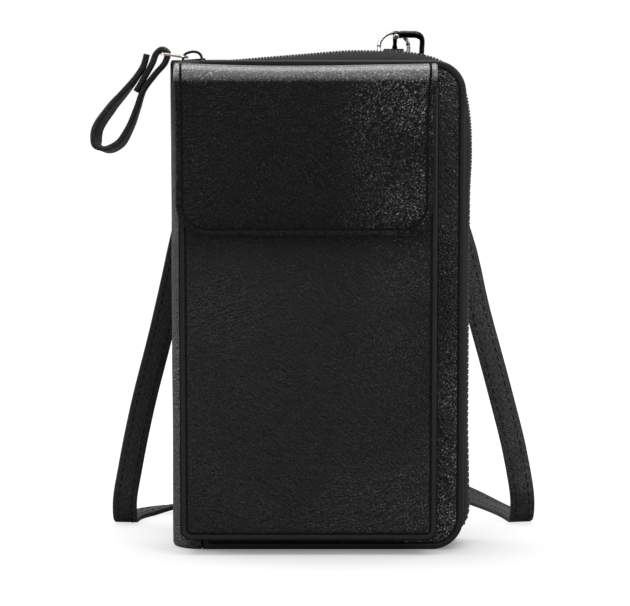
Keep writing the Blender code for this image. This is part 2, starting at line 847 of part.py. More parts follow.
def ring_tab(name, side):
    """Leather strip sewn to the back cover and bent round the D-ring's bar."""
    foot = ring_foot(side)
    away = RING_WIRE + GAP + TAB_CLOTH / 2
    back = BACK_OUT + GAP + TAB_CLOTH / 2
    low = foot.z - TAB_CLOTH_LONG
    if side > 0:
        turn = arc((foot.y, foot.z), away, 0.0, math.pi * 1.12, 9)
        line = [(back, HEIGHT - TAB_CLOTH_LONG), (back, HEIGHT), *turn]
    else:
        turn = arc((foot.y, foot.z), away, math.pi, 0.0, 9)
        over = back + TAB_CLOTH + GAP
        meet = foot.z - away * 2
        line = [(back, low), (back, meet), *turn, (over, meet), (over, low)]
    path = [Vector((foot.x, y, z)) for y, z in line]
    bm = bmesh.new()
    add_ribbon(bm, path, [Vector((1, 0, 0))] * len(path), TAB_CLOTH_WIDE, TAB_CLOTH)
    finish(name, bm, leather())


def hook_places():
    """Crest and axes of both hooks: across, and down along the hook."""
    lean = Vector((0, math.sin(HOOK_LEAN), -math.cos(HOOK_LEAN)))
    foot = ring_foot(1)
    cross = foot + Vector((RING_HALF, 0, RING_HIGH * 0.58))
    right = axes(cross - lean * HOOK_CROSS, (1, 0, 0), lean)
    foot = ring_foot(-1)
    up = Vector((0, math.sin(RING_FLOP), math.cos(RING_FLOP)))
    hang = foot + up * RING_HIGH
    crest = hang + Vector((0, 0.0025, RING_WIRE + 2 * GAP + HOOK_HEAD))
    down = Vector((-math.sin(LEFT_LEAN), 0, -math.cos(LEFT_LEAN)))
    left = axes(crest, (0, -1, 0), down)
    turned = axes(crest, (-down.z, 0, down.x), down)
    return right, left, turned


def swivel_hook(side, place):
    """C-shaped hook with a gate on a pin, and its swivel stud."""
    half = HOOK_WIDE / 2
    low, high = -HOOK_THICK / 2, HOOK_THICK / 2
    outline = rounded(-half, half, 0, HOOK_LONG, (0.004, 0.005, 0.005, 0.004), 5)
    hook = finish("hook_" + side, plate(place, outline, low, high, 0.0003), gunmetal())
    window_low = HOOK_HEAD
    window_high = HOOK_LONG - HOOK_BAR
    open_half = half - HOOK_BAR
    reach = HOOK_THICK
    outline = rounded(-open_half, open_half, window_low, window_high, (0.002,) * 4, 4)
    combine(hook, tool(hook.name + "_window", plate(place, outline, -reach, reach)), "DIFFERENCE")
    throat_low = HOOK_HEAD + GAP
    throat_high = window_high - 0.0004
    throat = box(place, (-half - reach, throat_low, -reach), (-open_half / 2, throat_high, reach))
    combine(hook, tool(hook.name + "_throat", throat), "DIFFERENCE")
    slot_half = GATE_THICK / 2 + GAP
    slot_right = -half + HOOK_BAR + GATE_WIDE
    slot = box(place, (-half - reach, -reach, -slot_half), (slot_right, throat_low + GAP, slot_half))
    combine(hook, tool(hook.name + "_slot", slot), "DIFFERENCE")
    pin_x = -half + HOOK_BAR * 0.75
    pin_y = HOOK_HEAD * 0.55
    hole = rod_between(
        place, (pin_x, pin_y, -reach), (pin_x, pin_y, reach), PIN_R + GAP, 16
    )
    combine(hook, tool(hook.name + "_pin_hole", hole), "DIFFERENCE")
    stud_end = HOOK_LONG + GAP + COLLAR_LONG + GAP
    stud = rod_between(place, (0, HOOK_LONG - 0.001, 0), (0, stud_end + 0.0005, 0), STUD_R, 12)
    combine(hook, tool(hook.name + "_stud", stud), "UNION")
    head = rod_between(place, (0, stud_end, 0), (0, stud_end + 0.001, 0), STUD_R + 0.0009, 16)
    combine(hook, tool(hook.name + "_stud_head", head), "UNION")
    gate_left = -half + 0.0001
    gate_right = gate_left + GATE_WIDE
    gate_end = throat_high - GAP
    top = pin_y - PIN_R - 0.0010
    outline = rounded(
        gate_left,
        gate_right + 0.0009,
        top,
        pin_y + PIN_R + 0.0010,
        (0.0005, 0.0005, 0.0005, 0.0005),
        3,
    )
    thin = GATE_THICK / 2
    gate = finish("gate_" + side, plate(place, outline, -thin, thin), gunmetal())
    bar = box(place, (gate_left, pin_y, -thin), (gate_right, gate_end, thin))
    combine(gate, tool(gate.name + "_bar", bar), "UNION")
    nub = box(
        place,
        (gate_left - 0.0012, gate_end * 0.5, -thin),
        (gate_left + 0.0004, gate_end * 0.5 + 0.0030, thin),
    )
    combine(gate, tool(gate.name + "_nub", nub), "UNION")
    hole = rod_between(
        place, (pin_x, pin_y, -reach), (pin_x, pin_y, reach), PIN_R + GAP / 2, 16
    )
    combine(gate, tool(gate.name + "_hole", hole), "DIFFERENCE")
    face = high + GAP / 2
    pin = finish(
        "gate_pin_" + side,
        rod_between(place, (pin_x, pin_y, -face), (pin_x, pin_y, face), PIN_R, 12),
        nickel(),
    )
    for end in (-1, 1):
        near = (pin_x, pin_y, end * face)
        far = (pin_x, pin_y, end * (face + PIN_HEAD))
        cap = rod_between(place, near, far, PIN_HEAD_R, 16)
        combine(pin, tool(pin.name + "_head_" + ("low" if end < 0 else "high"), cap), "UNION")
    return place @ Vector((pin_x, pin_y, 0))


def swivel_eye(side, place):
    """Flat eye that the strap goes through, with the collar that the stud turns in."""
    start = HOOK_LONG + GAP
    end = start + COLLAR_LONG + EYE_OPEN + EYE_BAR
    half = EYE_WIDE / 2
    thin = EYE_THICK / 2
    outline = rounded(-half, half, start + 0.0008, end, (0.0015, 0.0015, 0.003, 0.003), 4)
    eye = finish("eye_" + side, plate(place, outline, -thin, thin, 0.0003), gunmetal())
    collar_end = start + COLLAR_LONG + GAP
    collar = rod_between(place, (0, start, 0), (0, collar_end, 0), COLLAR_R, 16)
    combine(eye, tool(eye.name + "_collar", collar), "UNION")
    window_low = start + COLLAR_LONG
    window = box(
        place, (-half + EYE_BAR, window_low, -thin * 4), (half - EYE_BAR, end - EYE_BAR, thin * 4)
    )
    combine(eye, tool(eye.name + "_window", window), "DIFFERENCE")
    bore = rod_between(
        place, (0, start - 0.001, 0), (0, window_low + 0.001, 0), STUD_R + GAP, 16
    )
    combine(eye, tool(eye.name + "_bore", bore), "DIFFERENCE")
    return end - EYE_BAR / 2


def strap_fold(side, place, bar):
    """End of the strap folded round the eye's bar and lapped on itself, with a rivet."""
    away = math.hypot(EYE_THICK, EYE_BAR) / 2 + GAP + STRAP_THICK / 2
    lap = (STRAP_THICK + GAP) / 2
    meet = bar + away * 2.6
    end = bar + STRAP_FOLD_LONG
    short = end - 0.004
    turn = [(n, bar - t) for n, t in arc((0, 0), away, 0, math.pi, 8)]
    line = [(lap, end), (lap, (meet + end) / 2), (lap, meet + 0.001), (away * 0.96, bar + away * 0.8)]
    line += turn
    line += [(-away * 0.96, bar + away * 0.8), (-lap, meet + 0.001), (-lap, short)]
    path = [place @ Vector((0, t, n)) for n, t in line]
    across = [place.to_3x3() @ Vector((1, 0, 0))] * len(path)
    bm = bmesh.new()
    add_ribbon(bm, path, across, STRAP_WIDE, STRAP_THICK)
    fold = finish("strap_end_" + side, bm, leather())
    middle = (meet + short) / 2
    face = lap + STRAP_THICK / 2 + GAP
    reach = face + 0.002
    hole = rod_between(
        place, (0, middle, -reach), (0, middle, reach), RIVET_R / 3 + GAP, 16
    )
    combine(fold, tool(fold.name + "_hole", hole), "DIFFERENCE")
    shank = rod_between(place, (0, middle, -face), (0, middle, face), RIVET_R / 3, 12)
    rivet = finish("rivet_" + side, shank, gunmetal())
    for sign in (-1, 1):
        near = (0, middle, sign * face)
        far = (0, middle, sign * (face + RIVET_HEAD))
        cap = rod_between(place, near, far, RIVET_R, 20)
        ending = "low" if sign < 0 else "high"
        combine(rivet, tool(rivet.name + "_head_" + ending, cap), "UNION")
    start = place @ Vector((0, end + GAP, lap))
    along = place.to_3x3() @ Vector((0, 1, 0))
    return start, along


def coil_arms():
    """The roll's two spiral arms as one path: in along the first, out along the second."""
    centre = Vector((COIL_X, COIL_Y, STRAP_WIDE / 2))
    pitch = 2 * COIL_LAYER
    turns = (COIL_OUTER - COIL_INNER) / pitch
    steps = round(turns * COIL_STEPS)
    arm = []
    for i in range(steps + 1):
        turn = 2 * math.pi * turns * i / steps
        radius = COIL_OUTER - pitch * turns * i / steps
        angle = math.pi / 2 + turn
        arm.append(Vector((radius * math.cos(angle), radius * math.sin(angle), 0)))
    inner = arm[-1]
    ahead = (arm[-1] - arm[-2]).normalized()
    middle = []
    for i in range(1, COIL_STEPS):
        t = i / COIL_STEPS
        pull = COIL_INNER * 2.6
        blend = 2 * t**3 - 3 * t**2 + 1
        slope = t**3 - 2 * t**2 + t + t**3 - t**2
        middle.append(inner * (2 * blend - 1) + ahead * pull * slope)
    back = [-point for point in reversed(arm)]
    return [centre + point for point in arm + middle + back]


def lay(points, roll):
    """Path and width directions of a strap that turns from flat to on edge."""
    path = smooth_path(points, 4)
    across = []
    last = len(path) - 1
    for i, point in enumerate(path):
        before = path[max(i - 1, 0)]
        after = path[min(i + 1, last)]
        run = (after - before).normalized()
        level = Vector((1, 0, 0))
        if abs(run.z) < 0.6:
            level = Vector((-run.y, run.x, 0)).normalized()
            if level.x < 0:
                level = -level
        share = min(max((i / last - roll[0]) / (roll[1] - roll[0]), 0), 1)
        angle = share * share * (3 - 2 * share) * math.pi / 2
        across.append(level * math.cos(angle) + Vector((0, 0, 1)) * math.sin(angle))
        low = STRAP_WIDE / 2 * math.sin(angle) + STRAP_THICK / 2 * math.cos(angle)
        if point.z < low or angle > 0:
            point.z = max(point.z, low)
    return path, across


def strap_run(name, points, roll):
    path, across = lay(points, roll)
    bm = bmesh.new()
    add_ribbon(bm, path, across, STRAP_WIDE, STRAP_THICK)
    finish(name, bm, leather())


def strap(right_start, right_along, left_start, left_along):
    """Both hanging runs and the roll of spare length behind the wallet."""
    flat = STRAP_THICK / 2
    edge = STRAP_WIDE / 2
    roll = coil_arms()
    bm = bmesh.new()
    add_ribbon(bm, roll, [Vector((0, 0, 1))] * len(roll), STRAP_WIDE, STRAP_THICK)
    finish("strap_roll", bm, leather())
    right_end = roll[0] + Vector((GAP, 0, 0))
    points = [
        right_start,
        right_start + right_along * 0.004,
        right_start + right_along * 0.009,
        Vector((0.0468, 0.0455, 0.1450)),
        Vector((0.0585, 0.0440, 0.1200)),
        Vector((0.0662, 0.0385, 0.0880)),
        Vector((0.0748, 0.0330, 0.0560)),
        Vector((0.0822, 0.0285, 0.0250)),
        Vector((0.0843, 0.0270, 0.0100)),
        Vector((0.0841, 0.0310, 0.0022)),
        Vector((0.0818, 0.0420, flat)),
        Vector((0.0742, 0.0620, flat)),
        Vector((0.0610, 0.0840, flat)),
        Vector((0.0450, 0.0985, flat * 2)),
        Vector((0.0220, right_end.y, edge)),
        right_end + Vector((0.003, 0, 0)),
        right_end,
    ]
    strap_run("strap_right", points, (0.66, 0.92))
    left_end = roll[-1] + Vector((-GAP, 0, 0))
    points = [
        left_start,
        left_start + left_along * 0.004,
        left_start + left_along * 0.009,
        Vector((-0.0556, 0.0160, 0.1180)),
        Vector((-0.0588, 0.0185, 0.1040)),
        Vector((-0.0646, 0.0225, 0.0800)),
        Vector((-0.0724, 0.0255, 0.0500)),
        Vector((-0.0778, 0.0262, 0.0240)),
        Vector((-0.0801, 0.0262, 0.0100)),
        Vector((-0.0801, 0.0300, 0.0022)),
        Vector((-0.0785, 0.0400, flat)),
        Vector((-0.0695, 0.0520, flat)),
        Vector((-0.0540, 0.0560, flat)),
        Vector((-0.0370, 0.0490, flat * 2)),
        Vector((-0.0180, left_end.y, edge)),
        left_end - Vector((0.003, 0, 0)),
        left_end,
    ]
    strap_run("strap_left", points, (0.66, 0.92))


def zip_stop():
    """Metal stop across both rows, at the far end of the zip by the floor."""
    points, outward = zip_path()
    left = LEFT + ZIP_START + 0.0002
    place = axes((left, MIDDLE_Y, points[-1].z), (1, 0, 0), (0, 1, 0))
    half = TEETH_APART / 2 + TOOTH_WIDE
    stop = box(place, (0, -half, -TOOTH_HIGH), (0.0032, half, 0))
    finish("zip_stop", stop, nickel())


def main():
    clear_scene()
    covers()
    spine()
    linings()
    card_slots()
    gussets()
    pull_axis = coin_page()
    zip_halves()
    zip_stop()
    foot = zip_slider()
    heel, bar = pull_tab(foot)
    finger_loop(bar)
    pocket()
    flap()
    d_ring("d_ring_right", 1, 0.0)
    d_ring("d_ring_left", -1, RING_FLOP)
    ring_tab("ring_tab_right", 1)
    ring_tab("ring_tab_left", -1)
    right, left, turned = hook_places()
    right_pin = swivel_hook("right", right)
    left_pin = swivel_hook("left", left)
    bar_at = swivel_eye("right", right)
    swivel_eye("left", turned)
    starts = [*strap_fold("right", right, bar_at), *strap_fold("left", turned, bar_at)]
    strap(*starts)
    front = ["front_cover", "front_lining", "front_tape", "front_teeth", "magnet_plate"]
    front += ["pocket_panel", "pocket_gusset"]
    front += [f"front_card_slot_{i + 1}" for i in range(FRONT_SLOTS)]
    hang((LEFT, FRONT_OUT, 0), *front)
    hang((FLAP_X, HINGE_Y, FLAP_TOP), "flap_shell", "flap_lining", "flap_magnet")
    hang(slider_place().translation, "zip_slider")
    hang(heel, "pull_tab")
    hang(bar, "finger_loop")
    hang(ring_foot(1), "d_ring_right")
    hang(ring_foot(-1), "d_ring_left")
    hang(right.translation, "hook_right", "gate_pin_right")
    hang(left.translation, "hook_left", "gate_pin_left")
    hang(right_pin, "gate_right")
    hang(left_pin, "gate_left")
    hang((PAGE_AXIS_X, MIDDLE_Y, 0), "coin_pouch", "coin_zip")
    hang(pull_axis, "coin_slider", "coin_pull")


main()
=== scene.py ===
"""The looks of a zip-around phone wallet: grained leather, woven tape, coil zip, metal
fittings, stitching and the shoulder strap, fitted round the wallet's solid model.

X runs across the wallet, Y from the front to the back, Z up. Metres."""

import json
import math

import bmesh
import bpy
from mathutils import Matrix, Vector, noise


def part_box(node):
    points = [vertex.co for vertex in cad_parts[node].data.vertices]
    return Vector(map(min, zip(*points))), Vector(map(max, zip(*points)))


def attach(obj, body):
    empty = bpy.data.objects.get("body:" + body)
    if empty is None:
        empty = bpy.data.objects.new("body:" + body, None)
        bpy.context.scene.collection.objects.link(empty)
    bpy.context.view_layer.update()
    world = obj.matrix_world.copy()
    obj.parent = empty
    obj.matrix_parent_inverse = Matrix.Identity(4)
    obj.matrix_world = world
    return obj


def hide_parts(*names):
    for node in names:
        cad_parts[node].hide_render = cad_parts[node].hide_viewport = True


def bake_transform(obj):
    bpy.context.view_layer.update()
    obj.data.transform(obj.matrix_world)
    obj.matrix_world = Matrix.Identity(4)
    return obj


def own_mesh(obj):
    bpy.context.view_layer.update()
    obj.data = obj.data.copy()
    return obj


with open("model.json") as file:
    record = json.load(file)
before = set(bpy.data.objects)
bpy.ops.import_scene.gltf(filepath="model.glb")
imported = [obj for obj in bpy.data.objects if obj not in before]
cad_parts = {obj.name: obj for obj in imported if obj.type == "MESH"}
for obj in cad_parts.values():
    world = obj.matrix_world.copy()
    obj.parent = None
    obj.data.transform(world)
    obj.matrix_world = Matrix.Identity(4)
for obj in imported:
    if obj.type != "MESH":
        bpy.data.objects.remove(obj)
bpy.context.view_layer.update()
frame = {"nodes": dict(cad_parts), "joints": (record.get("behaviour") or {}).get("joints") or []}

bl_info = {
    "name": "Zip-around phone wallet",
    "version": (1, 0, 0),
    "blender": (4, 5, 0),
    "location": "3D View > Sidebar > Wallet",
    "description": "Dresses the model of a phone wallet with leather, zip, fittings and strap",
    "category": "Object",
}

GAP = 0.0003


def box_of(node):
    """Lowest and highest corner of a solid of the model."""
    low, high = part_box(node)
    return Vector(low), Vector(high)


COVER_LOW, COVER_HIGH = box_of("front_cover")
BACK_LOW, BACK_HIGH = box_of("back_cover")
PANEL_LOW, PANEL_HIGH = box_of("pocket_panel")
FLAP_LOW, FLAP_HIGH = box_of("flap_shell")
SPINE_LOW, SPINE_HIGH = box_of("spine")
MIDDLE_Y = (BACK_HIGH.y + COVER_LOW.y) / 2
HEIGHT = BACK_HIGH.z
RIGHT = BACK_HIGH.x
LEFT = SPINE_LOW.x + GAP
CORNER = 0.0125


def number(name, text, value, unit="LENGTH"):
    return bpy.props.FloatProperty(name=name, description=text, default=value, unit=unit)


def tint(name, text, value):
    return bpy.props.FloatVectorProperty(
        name=name, description=text, default=value, size=3, subtype="COLOR"
    )


class WalletSizes(bpy.types.PropertyGroup):
    stitch_long: number("Stitch length", "Length of one stitch of the leather seams", 0.0027)
    stitch_pitch: number("Stitch pitch", "From the start of one stitch to the next", 0.0036)
    thread: number("Thread", "Radius of the sewing thread", 0.00032)
    seam_inset: number("Seam inset", "From a leather edge to its row of stitches", 0.0026)
    tooth_pitch: number("Tooth pitch", "From one coil tooth of the zip to the next", 0.00243)
    grain: number("Grain", "Size of one pebble of the leather's grain", 0.00135)
    lens: number("Lens", "Focal length of the camera in mm, on a 36 mm frame", 137.0, "NONE")
    camera_away: number("Camera distance", "From the front cover to the camera, level", 0.95)
    camera_high: number("Camera height", "Height of the camera over the floor", 0.20)
    aim_high: number("Aim height", "Height on the front cover that the camera looks at", 0.0955)


class WalletColours(bpy.types.PropertyGroup):
    leather: tint("Leather", "Colour of the grained leather", (0.0088, 0.0095, 0.0097))
    # Painted highlight: the pale colour painted on the grain's high spots as glints of light.
    grain_glint: tint("Rubbed grain", "Colour of the grain's rubbed tops", (0.400, 0.400, 0.392))
    lining: tint("Lining", "Colour of the woven lining", (0.020, 0.021, 0.023))
    tape: tint("Zip tape", "Colour of the woven zip tape", (0.007, 0.007, 0.0075))
    coil: tint("Zip coil", "Colour of the coil teeth", (0.016, 0.016, 0.017))
    thread: tint("Thread", "Colour of the sewing thread", (0.004, 0.004, 0.0045))
    gunmetal: tint("Gunmetal", "Colour of the dark plated fittings", (0.030, 0.030, 0.032))
    nickel: tint("Nickel", "Colour of the bright plated fittings", (0.50, 0.49, 0.46))
    gold: tint("Pale gold", "Colour of the pull tab's plating", (0.70, 0.66, 0.56))


def sizes():
    return bpy.context.scene.wallet_sizes


def colours():
    return bpy.context.scene.wallet_colours


class Value:
    """A shader socket that adds Math nodes when it is used in an expression."""

    def __init__(self, graph, socket):
        self.graph = graph
        self.socket = socket

    def maths(self, operation, *others):
        return self.graph.node("ShaderNodeMath", {"operation": operation}, self, *others)

    def __add__(self, other):
        return self.maths("ADD", other)

    def __sub__(self, other):
        return self.maths("SUBTRACT", other)

    def __mul__(self, other):
        return self.maths("MULTIPLY", other)

    def __truediv__(self, other):
        return self.maths("DIVIDE", other)

    def __rsub__(self, other):
        return self.graph.node("ShaderNodeMath", {"operation": "SUBTRACT"}, other, self)

    __radd__ = __add__
    __rmul__ = __mul__

    def clamp(self):
        settings = {"operation": "ADD", "use_clamp": True}
        return self.graph.node("ShaderNodeMath", settings, self, 0.0)

    def power(self, other):
        return self.maths("POWER", other)

    def wave(self):
        return self.maths("SINE")

    def size(self):
        return self.maths("ABSOLUTE")


class Graph:
    """Builds one material's or the world's nodes."""

    def __init__(self, owner):
        owner.use_nodes = True
        self.tree = owner.node_tree

    def node(self, kind, settings=None, *values, output=0, **named):
        """A new node: its settings, its sockets by order or by name, and its output or outputs."""
        made = self.tree.nodes.new(kind)
        for key, value in (settings or {}).items():
            setattr(made, key, value)
        for i, value in enumerate(values):
            self.set(made.inputs[i], value)
        for key, value in named.items():
            self.set(made.inputs[key.replace("_", " ")], value)
        if isinstance(output, tuple):
            return [Value(self, made.outputs[each]) for each in output]
        return Value(self, made.outputs[output])

    def set(self, socket, value):
        if isinstance(value, Value):
            self.tree.links.new(value.socket, socket)
        elif value is not None:
            socket.default_value = value

    def place(self):
        """The piece's own coordinates, in metres."""
        return self.node("ShaderNodeTexCoord", output=3)

    def turned(self, where, turn, stretch):
        """Coordinates that are turned and then stretched, for a pattern with a direction."""
        named = {"Vector": where, "Rotation": turn, "Scale": stretch}
        return self.node("ShaderNodeMapping", {"vector_type": "TEXTURE"}, **named)

    def pushed(self, where, scale, amount):
        """Coordinates pushed about by smooth noise."""
        named = {"Vector": where, "Scale": scale, "Detail": 1.0}
        push = self.node("ShaderNodeTexNoise", output=1, **named)
        push = self.node("ShaderNodeVectorMath", {"operation": "SUBTRACT"}, push, (0.5, 0.5, 0.5))
        scaled = self.node("ShaderNodeVectorMath", {"operation": "SCALE"}, push, Scale=amount)
        return self.node("ShaderNodeVectorMath", {"operation": "ADD"}, where, scaled)

    def blend(self, share, one, two):
        """A number between two numbers."""
        return one + (two - one) * share

    def noise(self, scale, detail=2.0, where=None, rough=0.5):
        named = {"Vector": where or self.place(), "Scale": scale}
        named |= {"Detail": detail, "Roughness": rough}
        return self.node("ShaderNodeTexNoise", {"noise_dimensions": "3D"}, **named)

    def cells(self, scale, where):
        """Distance to the nearest edge between the cells of a Voronoi pattern."""
        settings = {"feature": "DISTANCE_TO_EDGE"}
        return self.node("ShaderNodeTexVoronoi", settings, Vector=where, Scale=scale)

    def split(self, vector):
        return self.node("ShaderNodeSeparateXYZ", None, vector, output=(0, 1, 2))

    def mix(self, share, one, two):
        """A colour between two colours."""
        values = (share, *[None] * 5, one, two)
        return self.node("ShaderNodeMix", {"data_type": "RGBA"}, *values, output=2)

    def bump(self, height, strength, distance):
        named = {"Strength": strength, "Distance": distance, "Height": height}
        return self.node("ShaderNodeBump", **named)

    def shader(self, **named):
        made = self.tree.nodes["Principled BSDF"]
        for key, value in named.items():
            self.set(made.inputs[key.replace("_", " ")], value)


def opaque(colour, gain=1.0):
    return tuple(min(part * gain, 1.0) for part in colour) + (1.0,)


def tone(name, gain=1.0):
    """One of the wallet's colours, made paler or darker."""
    return opaque(getattr(colours(), name), gain)


def material(draw):
    """Turns a function that draws nodes into one that gives a named material, drawn once."""

    def once(name, *values, **named):
        made = bpy.data.materials.get(name)
        if not made:
            made = bpy.data.materials.new(name)
            draw(Graph(made), *values, **named)
        return made

    return once


def leather_height(graph):
    """Height of the leather's face, 0 to 1 or so: pebbles between fine cracks, and creases."""
    where = graph.place()
    drift = graph.pushed(where, 150.0, 0.0016)
    turned = graph.turned(drift, (0.0, 0.75, 0.0), (1.0, 1.0, 0.52))
    other = graph.turned(drift, (0.3, -0.65, 0.0), (1.0, 1.0, 0.60))
    swap = ((graph.noise(20.0, 1.0) - 0.47) * 9.0).clamp()
    grain = 1.0 / sizes().grain
    cracks = graph.blend(swap, graph.cells(grain, turned), graph.cells(grain * 0.9, other))
    pebbles = (cracks * 3.4).clamp()
    fine = graph.noise(grain * 1.9, 3.0, drift, 0.6)
    long = graph.turned(where, (0.0, 0.80, 0.0), (1.0, 1.0, 0.30))
    streaks = graph.blend(
        swap, graph.noise(grain * 1.7, 2.0, turned, 0.6), graph.noise(grain * 1.5, 2.0, other, 0.6)
    )
    folds = 1 - (graph.noise(190.0, 3.0, long, 0.55) * 2 - 1).size()
    short = graph.turned(where, (0.0, -0.55, 0.0), (1.0, 1.0, 0.38))
    cross = 1 - (graph.noise(150.0, 3.0, short, 0.55) * 2 - 1).size()
    creases = graph.blend(swap, folds, cross).power(5.0)
    return pebbles, fine, creases, streaks


def distance_from(aside, ahead):
    """Distance from a rectangle, from how far a point lies past it in each direction."""
    aside, ahead = aside.maths("MAXIMUM", 0.0), ahead.maths("MAXIMUM", 0.0)
    return (aside * aside + ahead * ahead).power(0.5)


# Colour painted on the flap's bend: partly wear of the leather, partly a painted highlight.
BEND_WEAR_AND_HIGHLIGHT = (0.55, 0.55, 0.547, 1)
BEND_HIGHLIGHT_DEEP = 0.0060
GLINT_SIDE_FROM = 0.006
SHADE_REACH = 0.0035
GRAIN_DEEP = 0.00062


@material
def leather(graph, deep=1.0, shine_from=None, shade_by=None, glint=0.4, gloss=0.26):
    """Black grained leather: pebbles in fine cracks painted dark as painted shade, long creases,
    and painted highlights on the high spots.

    Above the height shine_from it is stretched round a bend, glossy under a coat, and painted
    paler: partly wear of the leather, partly a painted highlight on the bend.
    Close to the box shade_by its colour is darkened as painted shade beside the pocket and flap,
    and it is rougher there.
    The share glint says how strongly the high spots on the right get painted highlights, as if lit
    from the right."""
    pebbles, fine, creases, streaks = leather_height(graph)
    x, y, z = graph.split(graph.place())
    rub = ((graph.noise(26.0, 3.0) - 0.42) * 3.0).clamp()
    height = pebbles * 0.60 + fine * 0.75 - creases * 0.9
    colour = graph.mix(rub * 0.4, tone("leather"), tone("leather", 1.6))
    # Painted shade: the cracks between the pebbles are painted nearly black.
    colour = graph.mix((1 - pebbles) * 0.85, colour, tone("leather", 0.2))
    # Painted highlights: the grain's high spots are painted pale, faintly everywhere and strongly
    # in patches on the right side, where the light comes from.
    tops = ((streaks + fine * 0.35 - 0.68) * 8.0).clamp() * pebbles
    patches = ((graph.noise(30.0, 2.0) - 0.40) * 4.0).clamp() * 0.8 + 0.2
    glint_side = ((x - GLINT_SIDE_FROM) * 19.0).clamp() * patches
    colour = graph.mix(tops * (glint_side * glint + 0.07), colour, tone("grain_glint"))
    roughness = 0.36 - rub * 0.05 + fine * 0.14
    # Painted shade: the colour is darkened close to the pocket and flap, where their shadow falls.
    if shade_by:
        low, high = shade_by
        aside = (low.x - x).maths("MAXIMUM", x - high.x)
        above = (low.z - z).maths("MAXIMUM", z - high.z)
        near = (1 - distance_from(aside, above) / SHADE_REACH).clamp()
        colour = graph.mix(near * 0.9, colour, tone("leather", 0.12))
        roughness = roughness + near * 0.4
    if shine_from:
        # The bend is painted paler, partly wear and partly a painted highlight; the coat on it is a
        # real gloss.
        polish_and_highlight = ((z - shine_from) * 420.0 + (fine - 0.5) * 0.9).clamp()
        polish_and_highlight = polish_and_highlight * ((FLAP_LOW.y + BEND_HIGHLIGHT_DEEP - y) * 600.0).clamp()
        colour = graph.mix(polish_and_highlight * (0.22 + tops * 0.75), colour, BEND_WEAR_AND_HIGHLIGHT)
        roughness = roughness - polish_and_highlight * 0.08
        graph.shader(Coat_Weight=polish_and_highlight, Coat_Roughness=0.30)
    bump = graph.bump(height, 1.0, GRAIN_DEEP * deep)
    graph.shader(Base_Color=colour, Roughness=roughness, Normal=bump, Specular_IOR_Level=gloss)


@material
def rim_leather(graph):
    """The turned edge of the leather: stretched smooth, with a faint grain left."""
    lumps = graph.noise(520.0, 3.0)
    graph.shader(
        Base_Color=graph.mix(lumps, tone("leather", 0.9), tone("leather", 1.7)),
        Roughness=0.38 + lumps * 0.12,
        Normal=graph.bump(lumps + graph.noise(2600.0, 2.0) * 0.3, 1.0, 0.00012),
        Specular_IOR_Level=0.27,
    )


@material
def groove_leather(graph):
    """Leather pressed down under a row of stitches: dull, and painted nearly black as painted shade
    in the channel.
    """
    lumps = graph.noise(900.0, 2.0)
    graph.shader(
        Base_Color=graph.mix(lumps, tone("leather", 0.12), tone("leather", 0.5)),
        Roughness=0.62 + lumps * 0.2,
        Normal=graph.bump(lumps, 1.0, 0.0001),
        Specular_IOR_Level=0.12,
    )


@material
def cloth(graph, colour, pitch, rough=0.86, strength=0.5):
    """Plain weave of one pitch, over and under on X, Y and Z together, with some fuzz."""
    x, y, z = graph.split(graph.place())
    turn = 2 * math.pi / pitch
    weave = ((x + y) * turn).wave() * ((z + y * 0.5) * turn).wave() * 0.5 + 0.5
    height = weave * 0.8 + graph.noise(1.0 / pitch * 1.7, 3.0) * 0.3
    graph.shader(
        Base_Color=graph.mix(height.clamp(), tone(colour, 0.55), tone(colour, 1.6)),
        Roughness=rough - weave * 0.08,
        Normal=graph.bump(height, strength, 0.00015),
        Sheen_Weight=0.08,
        Specular_IOR_Level=0.2,
    )


@material
def twisted_thread(graph):
    """Twisted sewing thread, a little shiny."""
    x, y, z = graph.split(graph.place())
    twist = ((x + z + y) * (2 * math.pi / 0.00035)).wave() * 0.5 + 0.5
    graph.shader(
        Base_Color=graph.mix(twist, tone("thread", 0.7), tone("thread", 2.6)),
        Roughness=0.6,
        Normal=graph.bump(twist, 0.5, 0.00005),
        Specular_IOR_Level=0.1,
    )


@material
def nylon(graph):
    """Moulded nylon of the zip teeth."""
    lumps = graph.noise(700.0, 2.0)
    graph.shader(
        Base_Color=graph.mix(lumps, tone("coil", 0.7), tone("coil", 1.9)),
        Roughness=0.30 + lumps * 0.15,
        Normal=graph.bump(lumps, 0.15, 0.0001),
    )


@material
def metal(graph, colour, rough):
    """Plated metal with fine scratches, and smudges of a darker tone."""
    smudge = graph.noise(260.0, 3.0)
    grain = graph.noise(3200.0, 2.0)
    marks = (smudge * 1.5 - 0.45).clamp()
    graph.shader(
        Base_Color=graph.mix(marks * 0.5, opaque(colour), opaque(colour, 0.72)),
        Metallic=1.0,
        Roughness=rough + marks * 0.14 + grain * 0.05,
        Normal=graph.bump(grain + smudge * 0.6, 0.10, 0.00004),
    )


def plain_leather():
    return leather("grained_leather")


def lining():
    return cloth("woven_lining", "lining", 0.0009)


def tape_weave():
    return cloth("zip_tape_weave", "tape", 0.0008, 0.78, 0.9)


def thread():
    return twisted_thread("sewing_thread")


def coil_nylon():
    return nylon("zip_nylon")


def gunmetal():
    return metal("gunmetal_plate", colours().gunmetal, 0.20)


def nickel():
    return metal("nickel_plate", colours().nickel, 0.14)


def steel():
    return metal("plain_steel", (0.42, 0.42, 0.43), 0.34)


def axes(origin, first, second):
    """A placing matrix whose first and second axes point the given ways."""
    first = Vector(first).normalized()
    second = Vector(second)
    second = (second - first * second.dot(first)).normalized()
    turn = Matrix((first, second, first.cross(second))).transposed().to_4x4()
    return Matrix.Translation(Vector(origin)) @ turn


